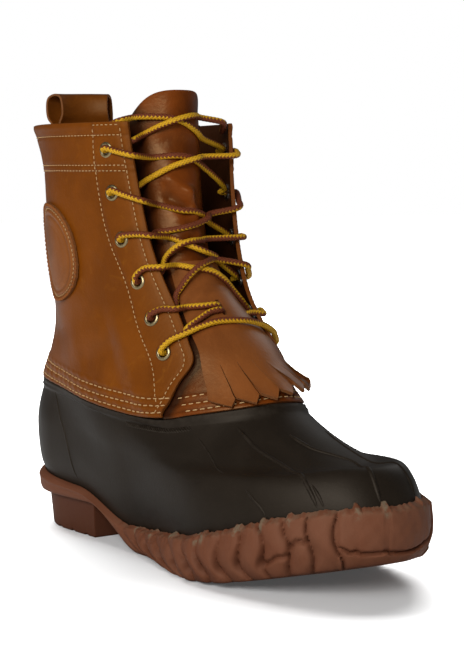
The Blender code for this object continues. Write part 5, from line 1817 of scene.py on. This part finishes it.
LACE_RADIUS, LACE_STEP = 0.00172, 0.00052
LACE_ROLLS = {
    # share of a turn by which the maroon side is rolled: below nought up, above nought down, 0.25 away
    "lace_bar": -0.25, "lace_5_low": 0.26, "lace_5_high": 0.27, "lace_4_low": -0.14, "lace_4_high": 0.36,
    "lace_3_low": 0.27, "lace_3_high": -0.22, "lace_2_low": -0.18, "lace_2_high": -0.21, "lace_1_low": 0.36,
    "lace_1_high": -0.21, "lace_end_outer": 0.28, "lace_end_inner": 0.27,
}


def cad_node(name):
    """The CAD node that a strand belongs to. lace_5_low is half of lace_cross_5."""
    if name == "lace_bar":
        return name
    return "lace_top" if name in END_ROUTES else "lace_cross_" + name.split("_")[1]


def strand(name, route, seed):
    """A strand's tube. Its two colours turn slowly round it, by one seeded sine of its length."""
    rows = lace_path(*route)
    path = rows[:, :3]
    up = steady_up(path, rows[:, 3:])
    run = run_up(path)
    dice = np.random.default_rng(seed)
    roll = LACE_ROLLS[name] + 0.06 * np.sin(2 * math.pi * run / dice.uniform(0.05, 0.09) + dice.uniform(0, 6))
    plump = LACE_RADIUS * (1 + 0.045 * np.cos(2 * math.pi * run / LACE_PERIOD))
    mesh = tube_mesh(name, path, up, plump, 14, uv_turn=roll)
    return add_piece(name, mesh, BRAID, [cad_node(name)], 80.0), path, float(run[-1])


lace_total = 0.0
for seed, (name, route) in enumerate(LACE_ROUTES.items()):
    lace_total += strand(name, route, 100 + seed)[2]
for seed, (name, route) in enumerate(END_ROUTES.items()):
    piece, path, long = strand(name, route, 140 + seed)
    lace_total += long
print("lace in all, metres:", round(lace_total, 3))

# %% [markdown]
# Stitches are real geometry: each is a tiny capsule that stands a little out of its groove and dips into the
# leather at both ends. One helper walks a seam, finds evenly spaced places and builds all capsules at once as
# one array, so hundreds of stitches cost no more code than one.

# %% Stitches
STITCH_RISE, STITCH_SINK = 0.00015, 0.0002


def stitches(path, normals, pitch, length, radius):
    """Capsules along a seam. Each ring's radius is the root of one minus t to the sixth, t from end to end."""
    run = run_up(path)
    count = int(run[-1] / pitch)
    at = (np.arange(count) + 0.5) * run[-1] / count
    t = np.linspace(-1, 1, 7)
    place = at[:, None] + t[None] * length / 2
    spot = np.stack([np.interp(place, run, path[:, k]) for k in range(3)], -1)
    up = unit(np.stack([np.interp(place, run, normals[:, k]) for k in range(3)], -1))
    ahead = unit(spot[:, -1:] - spot[:, :1])
    side = unit(np.cross(ahead, up))
    thick = radius * np.sqrt(np.clip(1 - t**6, 0, 1))
    arch = STITCH_RISE * (1 - t**2) - 0.4 * radius * t**4
    angle = circle(6)[:, None]
    ring = np.cos(angle) * side[:, :, None] + np.sin(angle) * up[:, :, None]
    points = spot[:, :, None] + up[:, :, None] * arch[:, None, None] + ring * thick[:, None, None]
    one = ring_quads(len(t), len(angle), turned=True)
    return points.reshape(-1, 3), repeat_quads(one, count, len(t) * len(angle))


def seam_piece(name, seams):
    """Joins the stitches of several seams into one piece."""
    points, quads, start = [], [], 0
    for one_seam in seams:
        some, faces = stitches(*one_seam)
        points.append(some)
        quads.append(faces + start)
        start += len(some)
    mesh = build_mesh(name, np.concatenate(points), np.concatenate(quads), weld=True)
    return add_piece(name, mesh, THREAD, (), 80.0)


SHAFT_TURN, SHAFT_LEVEL = shaft_grid()
SHAFT_BASE = on_quarter(SHAFT_TURN, SHAFT_LEVEL)
SHAFT_RELIEF = shaft_relief(SHAFT_TURN, SHAFT_LEVEL, SHAFT_BASE)[0]
SHAFT_NORMALS = outward(SHAFT_TURN, SHAFT_LEVEL)
SHAFT_FACE = SHAFT_BASE + SHAFT_NORMALS * SHAFT_RELIEF[..., None]


def across_rows(distances, row_target):
    """Where each column of the shaft reaches a distance, as points and normals along the row."""
    columns = np.arange(distances.shape[1])
    rows = np.array([np.interp(row_target, distances[:, c], np.arange(len(distances))) for c in columns])
    low = np.clip(rows.astype(int), 0, len(distances) - 2)
    t = (rows - low)[:, None]
    spot = SHAFT_FACE[low, columns] * (1 - t) + SHAFT_FACE[low + 1, columns] * t
    return spot, SHAFT_NORMALS[low, columns]


def along_columns(values, targets, rows):
    """Where each row of the shaft reaches a value between its columns, on one side of the throat."""
    spots, normals = [], []
    for row, target in zip(rows, targets):
        line = values[row]
        column = np.interp(target, line, np.arange(len(line)))
        low = int(np.clip(column, 0, len(line) - 2))
        t = column - low
        spots.append(SHAFT_FACE[row, low] * (1 - t) + SHAFT_FACE[row, low + 1] * t)
        normals.append(SHAFT_NORMALS[row, low])
    return np.array(spots), np.array(normals)


UP = run_up(SHAFT_FACE, 0)
ACROSS = run_up(SHAFT_FACE, 1)
# pitch, length and radius of the stitches of each kind of seam, in metres
BAND_STITCH = (0.0043, 0.0034, 0.00036)
COLLAR_STITCH = (0.0028, 0.0020, 0.00027)
EDGE_STITCH = (0.0029, 0.0021, 0.00027)
STRAP_STITCH = (0.0030, 0.0022, 0.00027)
PATCH_STITCHING = (0.0026, 0.0018, 0.00027)
TOP_ROW = 0.0018


def from_throat(row):
    """Metres to the nearer throat edge from each point of one row of the shaft."""
    return np.minimum(ACROSS[row], ACROSS[row, -1] - ACROSS[row])


shaft_seams = [(*across_rows(UP, row), *BAND_STITCH) for row in BAND_ROWS]
inner_part = from_throat(-20) > FRONT_ROW - 0.0004
for row in COLLAR_ROWS:
    spots, normals = across_rows(UP - UP[-1:], -row)
    shaft_seams.append((spots[inner_part], normals[inner_part], *COLLAR_STITCH))
spots, normals = across_rows(UP - UP[-1:], -TOP_ROW)
for sign in (1, -1):
    corner = (sign * SHAFT_TURN[-3] > through(FACING, 12.9)) & (from_throat(-3) > FRONT_ROW)
    shaft_seams.append((spots[corner], normals[corner], *COLLAR_STITCH))
front_rows = np.arange(3, SHAFT_ROWS - 4)
for targets in (np.full(len(front_rows), FRONT_ROW), ACROSS[front_rows, -1] - FRONT_ROW):
    shaft_seams.append((*along_columns(ACROSS, targets, front_rows), *EDGE_STITCH))
facing_rows = np.arange(10, SHAFT_ROWS - 4)
for sign in (1, -1):
    targets = sign * through(FACING, SHAFT_LEVEL[facing_rows, -1 if sign > 0 else 0])
    shaft_seams.append((*along_columns(SHAFT_TURN, targets, facing_rows), *EDGE_STITCH))
seam_piece("shaft_stitches", shaft_seams)

vamp_turn = np.linspace(0.355, 0.645, 200)
vamp_seams = []
for row in BAND_ROWS:
    vamp_level = seam(vamp_turn) + row / SEAM_BAND * band(vamp_turn)
    spots = skin(vamp_turn, vamp_level, TONGUE_GAP + LEATHER - 0.0003)
    vamp_seams.append((spots, outward(vamp_turn, vamp_level), *BAND_STITCH))
seam_piece("vamp_stitches", vamp_seams)

ring = np.linspace(0, 2 * math.pi, 240)
ring_spots, ring_turns, ring_levels = patch_point(PATCH_STITCH, ring, PATCH - STITCH_SINK)
seam_piece("patch_stitches", [(ring_spots, outward(ring_turns, ring_levels), *PATCH_STITCHING)])

back_share = np.linspace(0.01, 0.80, 120)
strap_seams = []
for sign in (-1, 1):
    across = sign * (BACKSTAY_WIDTH / 2 - STRAP_STITCH_INSET) / along_turn(0.02, 9.0)
    turn = BACK_TURN * ease(back_share) + across
    level = shaft_level(turn, back_share)
    out = quarter_outside(turn, shaft_level(0.0, back_share)) + STRAP_LIFT + STRAP - STITCH_SINK
    strap_seams.append((skin(turn, level, out), outward(turn, level), *STRAP_STITCH))
seam_piece("backstay_stitches", strap_seams)
